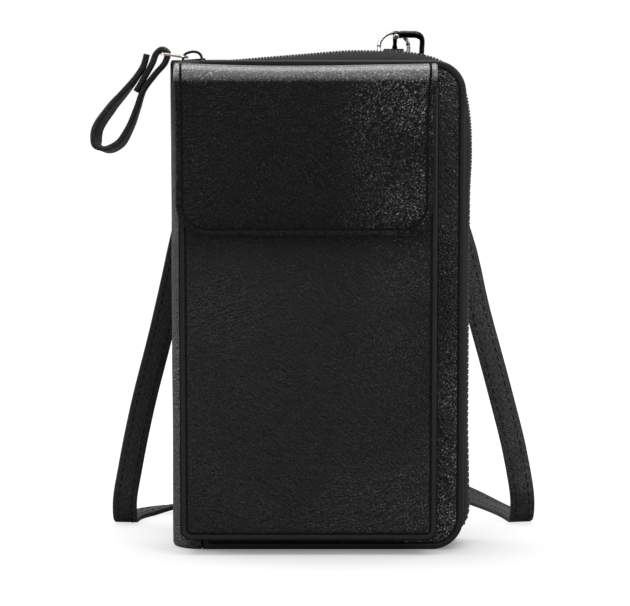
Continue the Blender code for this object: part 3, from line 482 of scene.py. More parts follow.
def arc(centre, radius, start, end, steps):
    """Points of an arc in a plane, from one angle to another."""
    turn = (end - start) / steps
    angles = [start + turn * i for i in range(steps + 1)]
    x, y = centre
    return [(x + radius * math.cos(angle), y + radius * math.sin(angle)) for angle in angles]


def rounded(left, right, low, high, radii, steps=8):
    """A rectangle with round corners: radii at low right, high right, high left, low left."""
    corners = [
        ((right, low), (-1, 1), -0.5),
        ((right, high), (-1, -1), 0.0),
        ((left, high), (1, -1), 0.5),
        ((left, low), (1, 1), 1.0),
    ]
    if not isinstance(radii, tuple):
        radii = (radii,) * 4
    outline = []
    for (corner, inward, turn), radius in zip(corners, radii):
        if radius <= 0:
            outline.append(corner)
            continue
        centre = (corner[0] + inward[0] * radius, corner[1] + inward[1] * radius)
        start = turn * math.pi
        outline += arc(centre, radius, start, start + math.pi / 2, steps)
    return outline


def inside(low, high, inset, radii, steps=8):
    """The outline in X and Z of a box, drawn in by an inset, with round corners."""
    left, right = low.x + inset, high.x - inset
    return rounded(left, right, low.z + inset, high.z - inset, radii, steps)


def from_corner(outline, corner):
    """The outline with that corner as its first point."""
    turn = outline.index(corner)
    return outline[turn:] + outline[:turn]


def upright(outline, y):
    """Points of an outline in X and Z, at one Y."""
    return [Vector((x, y, z)) for x, z in outline]


def even_marks(low, high, count):
    return [low + (high - low) * i / count for i in range(1, count)]


def clamped(value):
    return min(max(value, 0), 1)


def eased(t):
    """Shares of the start, the end and both slopes of a smooth curve from 0 to 1."""
    return 2 * t**3 - 3 * t**2 + 1, 3 * t**2 - 2 * t**3, t**3 - 2 * t**2 + t, t**3 - t**2


def smooth_path(points, steps):
    """A smooth curve through given points, with a few steps between each two."""
    gaps = [(two - one).length for one, two in zip(points, points[1:])]
    slopes = [(points[1] - points[0]) / gaps[0]]
    for i in range(1, len(points) - 1):
        before = (points[i] - points[i - 1]) / gaps[i - 1]
        after = (points[i + 1] - points[i]) / gaps[i]
        slopes.append((before * gaps[i] + after * gaps[i - 1]) / (gaps[i - 1] + gaps[i]))
    slopes.append((points[-1] - points[-2]) / gaps[-1])
    path = []
    for i, gap in enumerate(gaps):
        for k in range(steps):
            start, end, leave, arrive = eased(k / steps)
            point = points[i] * start + points[i + 1] * end
            path.append(point + (slopes[i] * leave + slopes[i + 1] * arrive) * gap)
    path.append(points[-1].copy())
    return path


def evenly(path, gap, start):
    """Points on a path at an even spacing, each with the direction of travel."""
    found = []
    want = start
    gone = 0.0
    for one, two in zip(path, path[1:]):
        step = (two - one).length
        while step > 0 and want <= gone + step:
            share = (want - gone) / step
            found.append((one.lerp(two, share), (two - one).normalized()))
            want += gap
        gone += step
    return found


def run_of(path, i):
    """Direction of travel at a point of a path."""
    before = path[max(i - 1, 0)]
    after = path[min(i + 1, len(path) - 1)]
    return (after - before).normalized()


def rail(path, across):
    """Placing matrices along a path: first axis across, second out of the face."""
    places = []
    for i, point in enumerate(path):
        along = run_of(path, i)
        side = across[i] if isinstance(across, list) else across
        side = (side - along * side.dot(along)).normalized()
        places.append(axes(point, side, along.cross(side)))
    return places


def points_of(geometry):
    return [part for part in geometry if isinstance(part, bmesh.types.BMVert)]


def sweep(bm, profile, places, closed=False):
    """Draws a flat profile along a row of placing matrices, capped or closed on itself."""
    start = [bm.verts.new(places[0] @ Vector((a, b, 0))) for a, b in profile]
    face = bm.faces.new(start)
    opening = face
    for before, after in zip(places, places[1:]):
        moved = bmesh.ops.extrude_face_region(bm, geom=[face])["geom"]
        face = next(part for part in moved if isinstance(part, bmesh.types.BMFace))
        bmesh.ops.transform(bm, matrix=after @ before.inverted(), verts=face.verts)
    if closed:
        pair = [opening, face] if opening.is_valid else [face]
        rims = [edge for part in pair for edge in part.edges]
        bmesh.ops.delete(bm, geom=pair, context="FACES_ONLY")
        bmesh.ops.bridge_loops(bm, edges=rims)


def strip_profile(wide, thick, edge, steps=3):
    """Section of a flat strap: its two long faces with rounded edges."""
    return rounded(-wide / 2, wide / 2, -thick / 2, thick / 2, edge, steps)


def thicken(bm, faces, shift):
    """Extrudes faces by a vector, and gives the new points."""
    tops = points_of(bmesh.ops.extrude_face_region(bm, geom=faces)["geom"])
    bmesh.ops.translate(bm, verts=tops, vec=shift)
    return tops


def round_off(bm, edges, offset, segments):
    bmesh.ops.bevel(
        bm, geom=edges, offset=offset, segments=segments, profile=0.5, affect="EDGES", material=-1
    )


def slab(bm, outline, near, far, edge=0.0, segments=3):
    """Extrudes an outline in X and Z from one Y to another, with its rims rounded."""
    face = bm.faces.new([bm.verts.new((x, near, z)) for x, z in outline])
    base = list(face.verts)
    new = set(base) | set(thicken(bm, [face], (0, far - near, 0)))
    if edge:
        level = abs(edge) / 10
        rims = [e for e in bm.edges if set(e.verts) <= new]
        rims = [e for e in rims if abs(e.verts[0].co.y - e.verts[1].co.y) < level]
        round_off(bm, rims, edge, segments)


def block(bm, middle, size, edge, segments):
    """A box with all its edges rounded."""
    bmesh.ops.create_cube(bm, size=1.0)
    bmesh.ops.scale(bm, vec=size, verts=bm.verts)
    bmesh.ops.translate(bm, vec=middle, verts=bm.verts)
    round_off(bm, bm.edges[:], edge, segments)


def blob(bm, place, size, around, up):
    """An ellipsoid at a placing matrix."""
    matrix = place @ Matrix.Diagonal((*size, 1))
    bmesh.ops.create_uvsphere(bm, u_segments=around, v_segments=up, radius=1.0, matrix=matrix)


def widest_face(bm, direction):
    """The largest face that looks one way."""
    direction = Vector(direction)
    face_outward(bm)
    facing = [face for face in bm.faces if face.normal.dot(direction) > 0.9]
    return max(facing, key=lambda face: face.calc_area())


def pressed_seam(bm, direction, inset, wide=0.0008, deep=0.00022, slope=0.0):
    """Presses the channel of a stitched seam into the widest face that looks one way.

    The faces outside the channel take the second material, and the channel the third."""
    face = widest_face(bm, direction)
    for other in bm.faces:
        other.material_index = 1
    steps = [(inset - wide / 2, 0.0), (wide / 2, -deep), (wide / 2, deep)]
    if slope:
        steps.append((slope, 0.00008))
    for thickness, depth in steps:
        bmesh.ops.inset_region(
            bm, faces=[face], thickness=thickness, depth=depth, use_even_offset=True
        )
        face.material_index = 2 if depth <= 0 else 0
    face.material_index = 0


def circle(radius, sides):
    return arc((0, 0), radius, 0, 2 * math.pi, sides)[:-1]


def rod(bm, points, radius, sides, tilt=None):
    """A round rod along a path of points, or a closed ring of them where a tilt is given."""
    side = tilt or (points[1] - points[0]).orthogonal().normalized()
    places = []
    for i in range(len(points)):
        if tilt:
            along = (points[(i + 1) % len(points)] - points[i - 1]).normalized()
        else:
            along = run_of(points, i)
        side = (side - along * side.dot(along)).normalized()
        places.append(axes(points[i], side, along.cross(side)))
    sweep(bm, circle(radius, sides), places, bool(tilt))


def riveted(place, spot, face, lift, cap, facets, radius, sides):
    """A pin through a part at a spot of its own plane, with a domed cap on each face."""
    bm = bmesh.new()
    x, y = spot
    for side in (-1, 1):
        blob(bm, place @ Matrix.Translation((x, y, side * (face + lift))), cap, *facets)
    rod(bm, [place @ Vector((x, y, side * face)) for side in (-1, 1)], radius, sides)
    return bm


def template(bm):
    """The finished bmesh as plain mesh data, for copies."""
    mesh = bpy.data.meshes.new("template")
    bm.to_mesh(mesh)
    bm.free()
    return mesh


def repeat(bm, small, places):
    """Copies of a small mesh, one at each placing matrix."""
    for place in places:
        copy = small.copy()
        copy.transform(place)
        bm.from_mesh(copy, face_normals=False, vertex_normals=False)
        bpy.data.meshes.remove(copy)
    bpy.data.meshes.remove(small)


def stitch_mesh():
    """One stitch: a short piece of thread whose ends dip, with its length on the first axis."""
    bm = bmesh.new()
    half, thick = sizes().stitch_long / 2, sizes().thread
    bmesh.ops.create_uvsphere(bm, u_segments=6, v_segments=4, radius=1.0)
    bmesh.ops.scale(bm, vec=(thick, thick, half), verts=bm.verts)
    bmesh.ops.rotate(bm, matrix=Matrix.Rotation(math.pi / 2, 3, "Y"), verts=bm.verts)
    return template(bm)


def stitch_row(bm, path, out, sink=0.35):
    """A row of stitches along a path: out is the face's direction, one for all or one each."""
    pitch = sizes().stitch_pitch
    marks = [0.0]
    for one, two in zip(path, path[1:]):
        marks.append(marks[-1] + (two - one).length)
    places = []
    want, i = pitch / 2, 0
    while want < marks[-1]:
        while marks[i + 1] < want:
            i += 1
        share = (want - marks[i]) / (marks[i + 1] - marks[i])
        point = path[i].lerp(path[i + 1], share)
        up = out[i] if isinstance(out, list) else out
        along = (path[i + 1] - path[i]).normalized()
        places.append(axes(point - up * sizes().thread * sink, along, up.cross(along)))
        want += pitch
    repeat(bm, stitch_mesh(), places)


def strip_rows(places, aside, face, sink):
    """Rows of stitches near both edges of a strap, on both its faces."""
    rows = []
    for row in (-1, 1):
        for side in (-1, 1):
            path = [place @ Vector((row * aside, side * face, 0)) for place in places]
            rows.append((path, [place.to_3x3() @ Vector((0, side, 0)) for place in places], sink))
    return rows


def sew(name, body, rows, shape=None):
    """A piece of thread from rows of stitches, each a path, a direction and a depth.

    The function shape, if there is one, then moves each point."""
    bm = bmesh.new()
    for row in rows:
        stitch_row(bm, *row)
    for vert in bm.verts if shape else ():
        shape(vert)
    return piece(name, bm, thread(), body)


def cut_across(bm, axis, marks):
    """Cuts a mesh by planes across one axis, so that it can be bent smoothly."""
    normal = Vector([1.0 if i == axis else 0.0 for i in range(3)])
    for mark in marks:
        every = bm.verts[:] + bm.edges[:] + bm.faces[:]
        bmesh.ops.bisect_plane(bm, geom=every, dist=1e-7, plane_co=normal * mark, plane_no=normal)


def edge_drop(x, z, low, high, reach, deep):
    """How far a padded panel falls back near its edges."""
    inward = min(x - low.x, high.x - x, z - low.z)
    return deep * clamped(1 - inward / reach) ** 2


def face_outward(bm):
    """Turns every closed shell so that its faces point out, by the sign of its volume."""
    bmesh.ops.recalc_face_normals(bm, faces=bm.faces)
    left = set(bm.faces)
    turned = []
    while left:
        grown = [left.pop()]
        for face in grown:
            for edge in face.edges:
                for other in edge.link_faces:
                    if other in left:
                        left.discard(other)
                        grown.append(other)
        if sum(f.normal.dot(f.verts[0].co) * f.calc_area() for f in grown) < 0:
            turned += grown
    if turned:
        bmesh.ops.reverse_faces(bm, faces=turned)


def piece(name, bm, surface, body, replaced=None, smooth=40.0, rim=None):
    """Turns a bmesh into a named piece that rides on a body and stands for its solids."""
    face_outward(bm)
    mesh = bpy.data.meshes.new(name)
    bm.to_mesh(mesh)
    bm.free()
    for each in (surface, rim, groove_leather("pressed_leather")) if rim else (surface,):
        mesh.materials.append(each)
    thing = bpy.data.objects.new(name, mesh)
    bpy.context.collection.objects.link(thing)
    mesh.shade_smooth()
    if smooth:
        mesh.set_sharp_from_angle(angle=math.radians(smooth))
    if replaced:
        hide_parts(*([replaced] if isinstance(replaced, str) else replaced))
    if body:
        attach(thing, body)
    return thing


def dress(surface, *nodes):
    """Gives solids of the model, whose shape stays, a better material."""
    for node in nodes:
        materials = frame["nodes"][node].data.materials
        materials.clear()
        materials.append(surface)


FLOOR_TONE = 0.68
FLOOR_GLOW = 1.12
FLOOR_HALF = (0.050, 0.012)
FLOOR_FADE = 14.0
SKY = 0.28


class WALLET_OT_stage(bpy.types.Operator):
    """Floor, soft lights, pale surroundings and the camera"""

    bl_idname = "wallet.stage"
    bl_label = "Stage and camera"

    LAMPS = [
        ("top_soft", (0.0, -0.12, 1.15), (0, -0.12, 0.15), (1.2, 1.0), 17.0),
        ("left_soft", (-0.95, 0.16, 0.30), (0, 0, 0.10), (0.85, 0.9), 10.0),
        ("right_soft", (0.62, -0.70, 0.40), (0, 0, 0.12), (0.22, 0.5), 2.6),
    ]

    def execute(self, context):
        context.scene.view_settings.view_transform = "Standard"
        self.camera(context)
        self.floor()
        self.surroundings(context)
        for name, place, aim, size, power in self.LAMPS:
            data = bpy.data.lights.new(name, "AREA")
            data.shape = "RECTANGLE"
            data.size, data.size_y = size
            data.energy = power
            self.put(name, data, Vector(place), Vector(aim))
        return {"FINISHED"}

    def put(self, name, data, place, aim):
        """A lamp or camera at a place, looking at another."""
        thing = bpy.data.objects.new(name, data)
        thing.location = place
        thing.rotation_euler = (aim - place).to_track_quat("-Z", "Y").to_euler()
        bpy.context.collection.objects.link(thing)
        return thing

    def camera(self, context):
        size = sizes()
        data = bpy.data.cameras.new("camera")
        data.sensor_width = 36.0
        data.lens = size.lens
        data.clip_start = 0.01
        place = Vector((-0.0015, -size.camera_away, size.camera_high))
        aim = Vector((place.x, 0, size.aim_high))
        context.scene.camera = self.put("camera", data, place, aim)

    def seen(self, graph):
        """The kinds of ray that meet plain white, and the share of glossy rays."""
        kinds = ("Is Camera Ray", "Is Glossy Ray", "Is Transmission Ray")
        camera, glossy, through = graph.node("ShaderNodeLightPath", output=kinds)
        return (camera + glossy * 0.25 + through).clamp(), glossy

    def floor(self):
        bm = bmesh.new()
        bmesh.ops.create_grid(bm, x_segments=8, y_segments=8, size=4.0)
        mesh = template(bm)
        mesh.name = "floor"
        thing = bpy.data.objects.new("floor", mesh)
        bpy.context.collection.objects.link(thing)
        made = bpy.data.materials.new("pale_floor")
        graph = Graph(made)
        graph.shader(Base_Color=(FLOOR_TONE,) * 3 + (1,), Roughness=0.7)
        x, y, z = graph.split(graph.place())
        aside, ahead = x.size() - FLOOR_HALF[0], (y - MIDDLE_Y).size() - FLOOR_HALF[1]
        cover = 1 - (1 - distance_from(aside, ahead) * FLOOR_FADE).clamp() * 0.85
        white = graph.node("ShaderNodeEmission", None, (1, 1, 1, 1), FLOOR_GLOW)
        black = graph.node("ShaderNodeEmission", None, (0, 0, 0, 1), 0.0)
        plain = Value(graph, graph.tree.nodes["Principled BSDF"].outputs[0])
        seen, glossy = self.seen(graph)
        mixed = graph.node("ShaderNodeMixShader", None, seen * cover, plain, white)
        mixed = graph.node("ShaderNodeMixShader", None, glossy * 0.7, mixed, black)
        graph.set(graph.tree.nodes["Material Output"].inputs["Surface"], mixed)
        mesh.materials.append(made)

    def surroundings(self, context):
        world = bpy.data.worlds.new("surroundings")
        context.scene.world = world
        graph = Graph(world)
        dim = graph.node("ShaderNodeBackground", None, (1, 1, 1, 1), SKY)
        white = graph.node("ShaderNodeBackground", None, (1, 1, 1, 1), 1.0)
        mixed = graph.node("ShaderNodeMixShader", None, self.seen(graph)[0], dim, white)
        graph.set(graph.tree.nodes["World Output"].inputs["Surface"], mixed)


def cover_outline(low, high, inset=0.0):
    """A cover's outline: square at the spine, round at the two free corners."""
    corner = CORNER - inset
    return inside(low, high, inset, (corner, corner, 0, 0), 12)


class WALLET_OT_covers(bpy.types.Operator):
    """Front and back covers: padded leather over board, with a stitched, turned edge"""

    bl_idname = "wallet.covers"
    bl_label = "Covers"

    ROLL = 0.00085

    def execute(self, context):
        # Painted shade darkens the front cover beside the pocket and flap; its grain gets painted
        # highlights on the right.
        front = leather("front_cover_leather", shade_by=(PANEL_LOW, FLAP_HIGH), glint=0.95)
        back = leather("back_cover_leather", gloss=0.4)
        inset = sizes().seam_inset
        for half, low, high, side, surface in (
            ("front", COVER_LOW, COVER_HIGH, -1, front),
            ("back", BACK_LOW, BACK_HIGH, 1, back),
        ):
            outer, inner = (low.y, high.y) if side < 0 else (high.y, low.y)
            out = Vector((0, side, 0))
            body = half + "_half"
            rim = rim_leather("smooth_rim_leather")
            bm = bmesh.new()
            slab(bm, cover_outline(low, high), inner, outer, self.ROLL, 4)
            pressed_seam(bm, out, inset - self.ROLL, slope=0.0035)
            piece(half + "_leather", bm, surface, body, half + "_cover", rim=rim)
            seam = upright(cover_outline(low, high, inset), outer - side * 0.00016)
            sew(half + "_cover_stitches", body, [(seam, out)])
        return {"FINISHED"}


class WALLET_OT_spine(bpy.types.Operator):
    """Soft half-round spine, with its stitches and the hinge linings"""

    bl_idname = "wallet.spine"
    bl_label = "Spine"

    WALL = 0.0018
    BULGE = 0.0008
    CREASE = 0.00022
    TRIM = 0.0007
    TRIM_LONG = 0.0016
    ENDS = (0.0001, 0.0005, 0.0010)
    LEVELS = 64
    SEAM = 0.0021
    HINGE = (-0.0012, 0.0040)
    HINGE_THICK = 0.0005

    def execute(self, context):
        centre = (SPINE_HIGH.x, MIDDLE_Y)
        radius = SPINE_HIGH.x - SPINE_LOW.x
        outer = arc(centre, radius, math.pi / 2, 3 * math.pi / 2, 28)
        inner = arc(centre, radius - self.WALL, 3 * math.pi / 2, math.pi / 2, 28)
        step = (HEIGHT - 2 * self.TRIM_LONG) / self.LEVELS
        levels = [SPINE_LOW.z + end for end in self.ENDS]
        levels += [SPINE_LOW.z + self.TRIM_LONG + i * step for i in range(self.LEVELS + 1)]
        levels += [HEIGHT - end for end in reversed(self.ENDS)]
        bm = bmesh.new()
        sweep(bm, outer + inner, [Matrix.Translation((0, 0, z)) for z in levels])
        for vert in bm.verts:
            x, y, z = vert.co
            away = Vector((x - centre[0], y - centre[1], 0))
            out = away.normalized()
            near_end = min(z - SPINE_LOW.z, HEIGHT - z)
            trim = self.TRIM * max(1 - near_end / self.TRIM_LONG, 0) ** 2
            if away.length > radius - self.WALL / 2:
                wave = noise.noise(Vector((y * 60, x * 60, z * 38)))
                vert.co -= out * (self.CREASE * (0.6 + wave) + trim)
                vert.co.x += out.x * self.BULGE
            else:
                vert.co += out * trim
        surface = leather("spine_leather", gloss=0.5)
        spine = piece("spine_leather", bm, surface, None, "spine", 60)
        rows = []
        for side in (-1, 1):
            y = MIDDLE_Y + side * (radius - 0.0001)
            path = [Vector((SPINE_HIGH.x - self.SEAM, y, z)) for z in (0.003, HEIGHT - 0.003)]
            rows.append((path, Vector((0, side, 0))))
        stitches = sew("spine_stitches", None, rows)
        for thing in (spine, stitches):
            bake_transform(thing)
        left, right = (SPINE_HIGH.x + reach for reach in self.HINGE)
        outline = rounded(left, right, 0.0002, HEIGHT - 0.0002, 0.0004, 3)
        for half, near in (("front", COVER_HIGH.y + 0.00025), ("back", BACK_LOW.y - 0.00075)):
            bm = bmesh.new()
            slab(bm, outline, near, near + self.HINGE_THICK, 0.0001, 2)
            piece(half + "_hinge_lining", bm, surface, half + "_half")
        return {"FINISHED"}


class WALLET_OT_pocket(bpy.types.Operator):
    """Phone pocket: stitched front panel and its folded side and bottom gusset"""

    bl_idname = "wallet.pocket"
    bl_label = "Phone pocket"

    PAD = (0.014, 0.0007)
    SWELL = 0.00012
    ROLL = 0.0007
    GUSSET = 0.0009
    GUSSET_DIP = 0.00125

    def execute(self, context):
        self.panel()
        self.gusset()
        return {"FINISHED"}

    def panel(self):
        low, high = PANEL_LOW, PANEL_HIGH
        inset = sizes().seam_inset
        out = Vector((0, -1, 0))
        bm = bmesh.new()
        slab(bm, inside(low, high, 0, (0.0045, 0, 0, 0.0045)), high.y, low.y, self.ROLL, 4)
        pressed_seam(bm, out, inset - self.ROLL, 0.0010, 0.00028)
        cut_across(bm, 0, even_marks(low.x, high.x, 26))
        cut_across(bm, 2, even_marks(low.z, high.z, 40))
        for vert in bm.verts:
            x, y, z = vert.co
            if y < low.y + 0.0006:
                wave = (noise.noise(Vector((x * 30, 3.0, z * 30))) + 1) * self.SWELL
                vert.co.y += edge_drop(x, z, low, high, *self.PAD) + wave
        surface = leather("panel_leather", glint=0.22, gloss=0.22)
        rim = rim_leather("smooth_rim_leather")
        piece("pocket_leather", bm, surface, "front_half", "pocket_panel", rim=rim)
        seam = inside(low, high, inset, (0.0022, 0, 0, 0.0022))
        seam = from_corner(seam, (low.x + inset, high.z - inset))
        drop = edge_drop(low.x + inset, HEIGHT / 2, low, high, *self.PAD)
        path = upright(seam, low.y + 0.00032 + drop)
        sew("pocket_stitches", "front_half", [(path, out)])

    def gusset(self):
        low, high = box_of("pocket_gusset")
        edge = 0.0008
        left, right = low.x + edge, high.x - edge
        rim = rounded(left, right, low.z + edge, high.z, (0.0040, 0, 0, 0.0040))
        path = upright(from_corner(rim, (left, high.z)), (low.y + high.y) / 2)
        places = rail(path, Vector((0, 1, 0)))
        half = (high.y - low.y) / 2
        steps = 10
        skin = []
        for i in range(steps + 1):
            t = i / steps
            dip = self.GUSSET_DIP * math.sin(math.pi * t) ** 0.8
            skin.append((half * (2 * t - 1), self.GUSSET / 2 - dip))
        profile = skin + [(a, b - self.GUSSET) for a, b in reversed(skin)]
        if (places[0].to_3x3() @ Vector((0, 1, 0))).x > 0:
            profile = [(a, -b) for a, b in profile]
        bm = bmesh.new()
        sweep(bm, profile, places)
        name = "pocket_gusset"
        piece(name + "_leather", bm, plain_leather(), "front_half", name, 60)


class WALLET_OT_flap(bpy.types.Operator):
    """Bent magnetic flap over the pocket, with a rolled, stitched edge"""

    bl_idname = "wallet.flap"
    bl_label = "Flap"

    BEND = 0.0042
    THICK = 0.0015
    ROLL = 0.00068
    CORNER = 0.0120
    FLARE = 0.0013
    SAG = 0.0009
    LIFT = 0.0011
    SWELL = 0.00030
    PAD = (0.016, 0.0009)
    SHINE = 0.0058

    def run_lengths(self):
        level = FLAP_HIGH.y - (FLAP_LOW.y + self.BEND)
        turn = self.BEND * math.pi / 2
        down = FLAP_HIGH.z - self.BEND - FLAP_LOW.z
        return level, turn, down

    def bend(self, vert):
        """Wraps a point of the flat cut round the hinge run, the bend and the front."""
        level, turn, down = self.run_lengths()
        x, gone, out = vert.co
        if gone < level:
            y, z, lean = FLAP_HIGH.y - gone, FLAP_HIGH.z, 0.0
        elif gone < level + turn:
            lean = (gone - level) / self.BEND
            y = FLAP_LOW.y + self.BEND - self.BEND * math.sin(lean)
            z = FLAP_HIGH.z - self.BEND + self.BEND * math.cos(lean)
        else:
            lean = math.pi / 2
            y, z = FLAP_LOW.y, FLAP_HIGH.z - self.BEND - (gone - level - turn)
        share = clamped(1 - (gone - level - turn) / 0.02)
        middle = (FLAP_LOW.x + FLAP_HIGH.x) / 2
        half = (FLAP_HIGH.x - FLAP_LOW.x) / 2
        x += max((x - middle) / half, -0.3) * self.FLARE * share * share
        swell = noise.noise(Vector((x * 22, gone * 26, 0))) * self.SWELL
        aside = (x - middle) / half
        settled = clamped(gone / level)
        z += (self.LIFT - self.SAG * (1 - aside * aside)) * share * settled
        if lean > 1.5:
            y += edge_drop(x, z, FLAP_LOW, FLAP_HIGH, *self.PAD) * (1 - share)
        y -= math.sin(lean) * (out + swell)
        z += math.cos(lean) * (out + swell)
        vert.co = (x, y, z)

    def execute(self, context):
        level, turn, down = self.run_lengths()
        long = level + turn + down
        left, right = FLAP_LOW.x, FLAP_HIGH.x
        inset = sizes().seam_inset
        out = Vector((0, 0, 1))
        bm = bmesh.new()
        cut = rounded(left, right, 0, long, (0, self.CORNER, self.CORNER, 0), 14)
        face = bm.faces.new([bm.verts.new((x, s, -self.THICK)) for x, s in cut])
        thicken(bm, [face], (0, 0, self.THICK))
        rims = [e for e in bm.edges if abs(e.verts[0].co.z - e.verts[1].co.z) < 1e-6]
        round_off(bm, rims, self.ROLL, 4)
        pressed_seam(bm, out, inset - self.ROLL, 0.0010, 0.00030)
        marks = [level * 0.5]
        marks += [level + turn * i / 12 for i in range(13)]
        marks += [level + turn + 0.0015 + i * (down - 0.002) / 26 for i in range(26)]
        cut_across(bm, 1, marks)
        cut_across(bm, 0, even_marks(left, right, 30))
        for vert in bm.verts:
            self.bend(vert)
        # The bend gets the painted highlight with its coat, and the grain strong painted highlights
        # on the right.
        shine = FLAP_HIGH.z - self.SHINE
        surface = leather("flap_bend_leather", 1.0, shine, glint=1.4, gloss=0.08)
        rim = leather("flap_rim_leather", 0.5, shine, gloss=0.08)
        piece("flap_leather", bm, surface, "flap", "flap_shell", 50, rim)
        corner = self.CORNER - inset
        seam = rounded(left + inset, right - inset, 0.001, long - inset, (0, corner, corner, 0), 14)
        path = [Vector((x, s, -0.00022)) for x, s in seam + seam[:1]]
        sew("flap_stitches", "flap", [(path, out)], shape=self.bend)
        dress(lining(), "flap_lining")
        dress(steel(), "flap_magnet")
        return {"FINISHED"}


TOOTH_HIGH = 0.0022
TOOTH_WIDE = 0.0020
TEETH_APART = 0.0015
TAPE = 0.0007
TAPE_SINK = 0.0036
TAPE_HEM = 0.0012
ZIP_START = 0.010
ZIP_START_RISE = -0.0030
ZIP_SLOPE = math.radians(4.7)
ZIP_STRAIGHT = 0.056
ZIP_PROUD = 0.0002
ZIP_BULGE = 0.0008
ZIP_FOOT = 0.0008
ZIP_FIRST = Vector((LEFT + ZIP_START, 0, HEIGHT + ZIP_START_RISE))
ZIP_ALONG = Vector((math.cos(ZIP_SLOPE), 0, math.sin(ZIP_SLOPE)))


def zip_line():
    """Foot line of the teeth in X and Z, from the slider round to the end by the floor."""
    peak = ZIP_FIRST + ZIP_ALONG * ZIP_STRAIGHT
    right = RIGHT + ZIP_PROUD
    low = ZIP_FOOT + TOOTH_HIGH
    crown = [
        (peak.x + 0.0125, peak.z + 0.0001),
        (right - 0.0235, HEIGHT + 0.0013),
        (right - 0.0155, HEIGHT - 0.0001),
        (right - 0.0110, HEIGHT - 0.0016),
        (right - 0.0060, HEIGHT - 0.0058),
        (right - 0.0029, HEIGHT - 0.0098),
        (right - 0.0014, HEIGHT - 0.0135),
        (right - 0.0002, HEIGHT - 0.0200),
        (right + ZIP_BULGE, HEIGHT - 0.0350),
        (right + ZIP_BULGE / 4, HEIGHT - 0.0520),
        (right, HEIGHT / 2),
        (right, HEIGHT / 4),
    ]
    corner = (right + ZIP_BULGE - CORNER, low + CORNER)
    crown += arc(corner, CORNER, 0.0, -math.pi / 2, 5)
    crown += [(0, low), (LEFT + ZIP_START + 0.004, low)]
    points = [ZIP_FIRST, ZIP_FIRST + ZIP_ALONG * ZIP_STRAIGHT / 2, peak] + upright(crown, 0)
    return smooth_path(straightened(points), 6)


def straightened(points):
    """Extra points on long straight runs, so that a smooth curve keeps them straight."""
    path = []
    for one, two in zip(points, points[1:]):
        path.append(one)
        if (two - one).length > 0.020:
            path += [one.lerp(two, share) for share in (0.12, 0.5, 0.88)]
    return path + [points[-1]]


class WALLET_OT_zip(bpy.types.Operator):
    """Coil zip round three sides: interlocking nylon teeth on two woven tapes"""

    bl_idname = "wallet.zip"
    bl_label = "Zip"

    BAR = 0.00112
    BAR_ROUND = 0.00040
    HEAD = 0.55
    HEAD_DROP = 0.00045
    HEAD_NARROW = 0.22
    CORE_LOW, CORE_HIGH = 0.0004, 0.00105

    def tooth(self):
        """One turn of the coil: a bar across its tape with a fat rounded head at the middle."""
        bm = bmesh.new()
        reach = TEETH_APART / 2 + TOOTH_WIDE + 0.0003
        middle = (0, reach / 2 - 0.00035, TOOTH_HIGH * 0.48)
        block(bm, middle, (self.BAR, reach, TOOTH_HIGH * 0.94), self.BAR_ROUND, 2)
        for vert in bm.verts:
            if vert.co.y > reach * self.HEAD:
                share = (vert.co.y - reach * self.HEAD) / (reach * (1 - self.HEAD))
                vert.co.z -= self.HEAD_DROP * share * share
                vert.co.x *= 1 - self.HEAD_NARROW * share
        return template(bm)

    def teeth(self, half, side):
        line = zip_line()
        pitch = sizes().tooth_pitch
        places = []
        for point, along in evenly(line, pitch, pitch * (0.3 if side > 0 else 0.8)):
            place = axes(point + Vector((0, MIDDLE_Y, 0)), along, (0, side, 0))
            places.append(place @ Matrix.Diagonal((1, 1, side, 1)))
        bm = bmesh.new()
        repeat(bm, self.tooth(), places)
        near, far = (side * (TEETH_APART / 2 + TOOTH_WIDE * share) for share in (0.55, 0.95))
        low, high = self.CORE_LOW, self.CORE_HIGH
        self.strip(bm, [(near, low), (far, low), (far, high), (near, high)], line)
        node = half + "_teeth"
        piece(half + "_coil_teeth", bm, coil_nylon(), half + "_half", node, 50)

    def strip(self, bm, profile, line):
        """Sweeps a section in Y and height over the teeth's foot line."""
        places = []
        for i, point in enumerate(line):
            run = run_of(line, i)
            outward = Vector((-run.z, 0, run.x))
            places.append(axes(point + Vector((0, MIDDLE_Y, 0)), (0, 1, 0), outward))
        sweep(bm, profile, places)

    def tape(self, half, side, cover):
        begin = side * (TEETH_APART / 2 + TOOTH_WIDE + GAP)
        rise = (TOOTH_HIGH - TAPE) / 2
        edge = cover - MIDDLE_Y - side * GAP
        line = [
            (begin, rise),
            (begin + side * 0.0006, rise + 0.00005),
            (begin + side * 0.0012, rise - 0.0003),
            (edge - side * 0.0018, rise - TAPE_SINK * 0.62),
            (edge - side * 0.0010, rise - TAPE_SINK),
            (edge, rise - TAPE_SINK - TAPE_HEM),
        ]
        profile = [(y, n + TAPE * 0.8) for y, n in line] + line[::-1]
        bm = bmesh.new()
        self.strip(bm, profile, zip_line())
        node = half + "_tape"
        piece(half + "_zip_weave", bm, tape_weave(), half + "_half", node, 50)

    def execute(self, context):
        for half, side, cover in (("back", 1, BACK_LOW.y), ("front", -1, COVER_HIGH.y)):
            self.teeth(half, side)
            self.tape(half, side, cover)
        low, high = box_of("zip_stop")
        bm = bmesh.new()
        block(bm, (high + low) / 2, high - low, 0.0005, 3)
        piece("zip_end_stop", bm, nickel(), "back_half", "zip_stop")
        return {"FINISHED"}


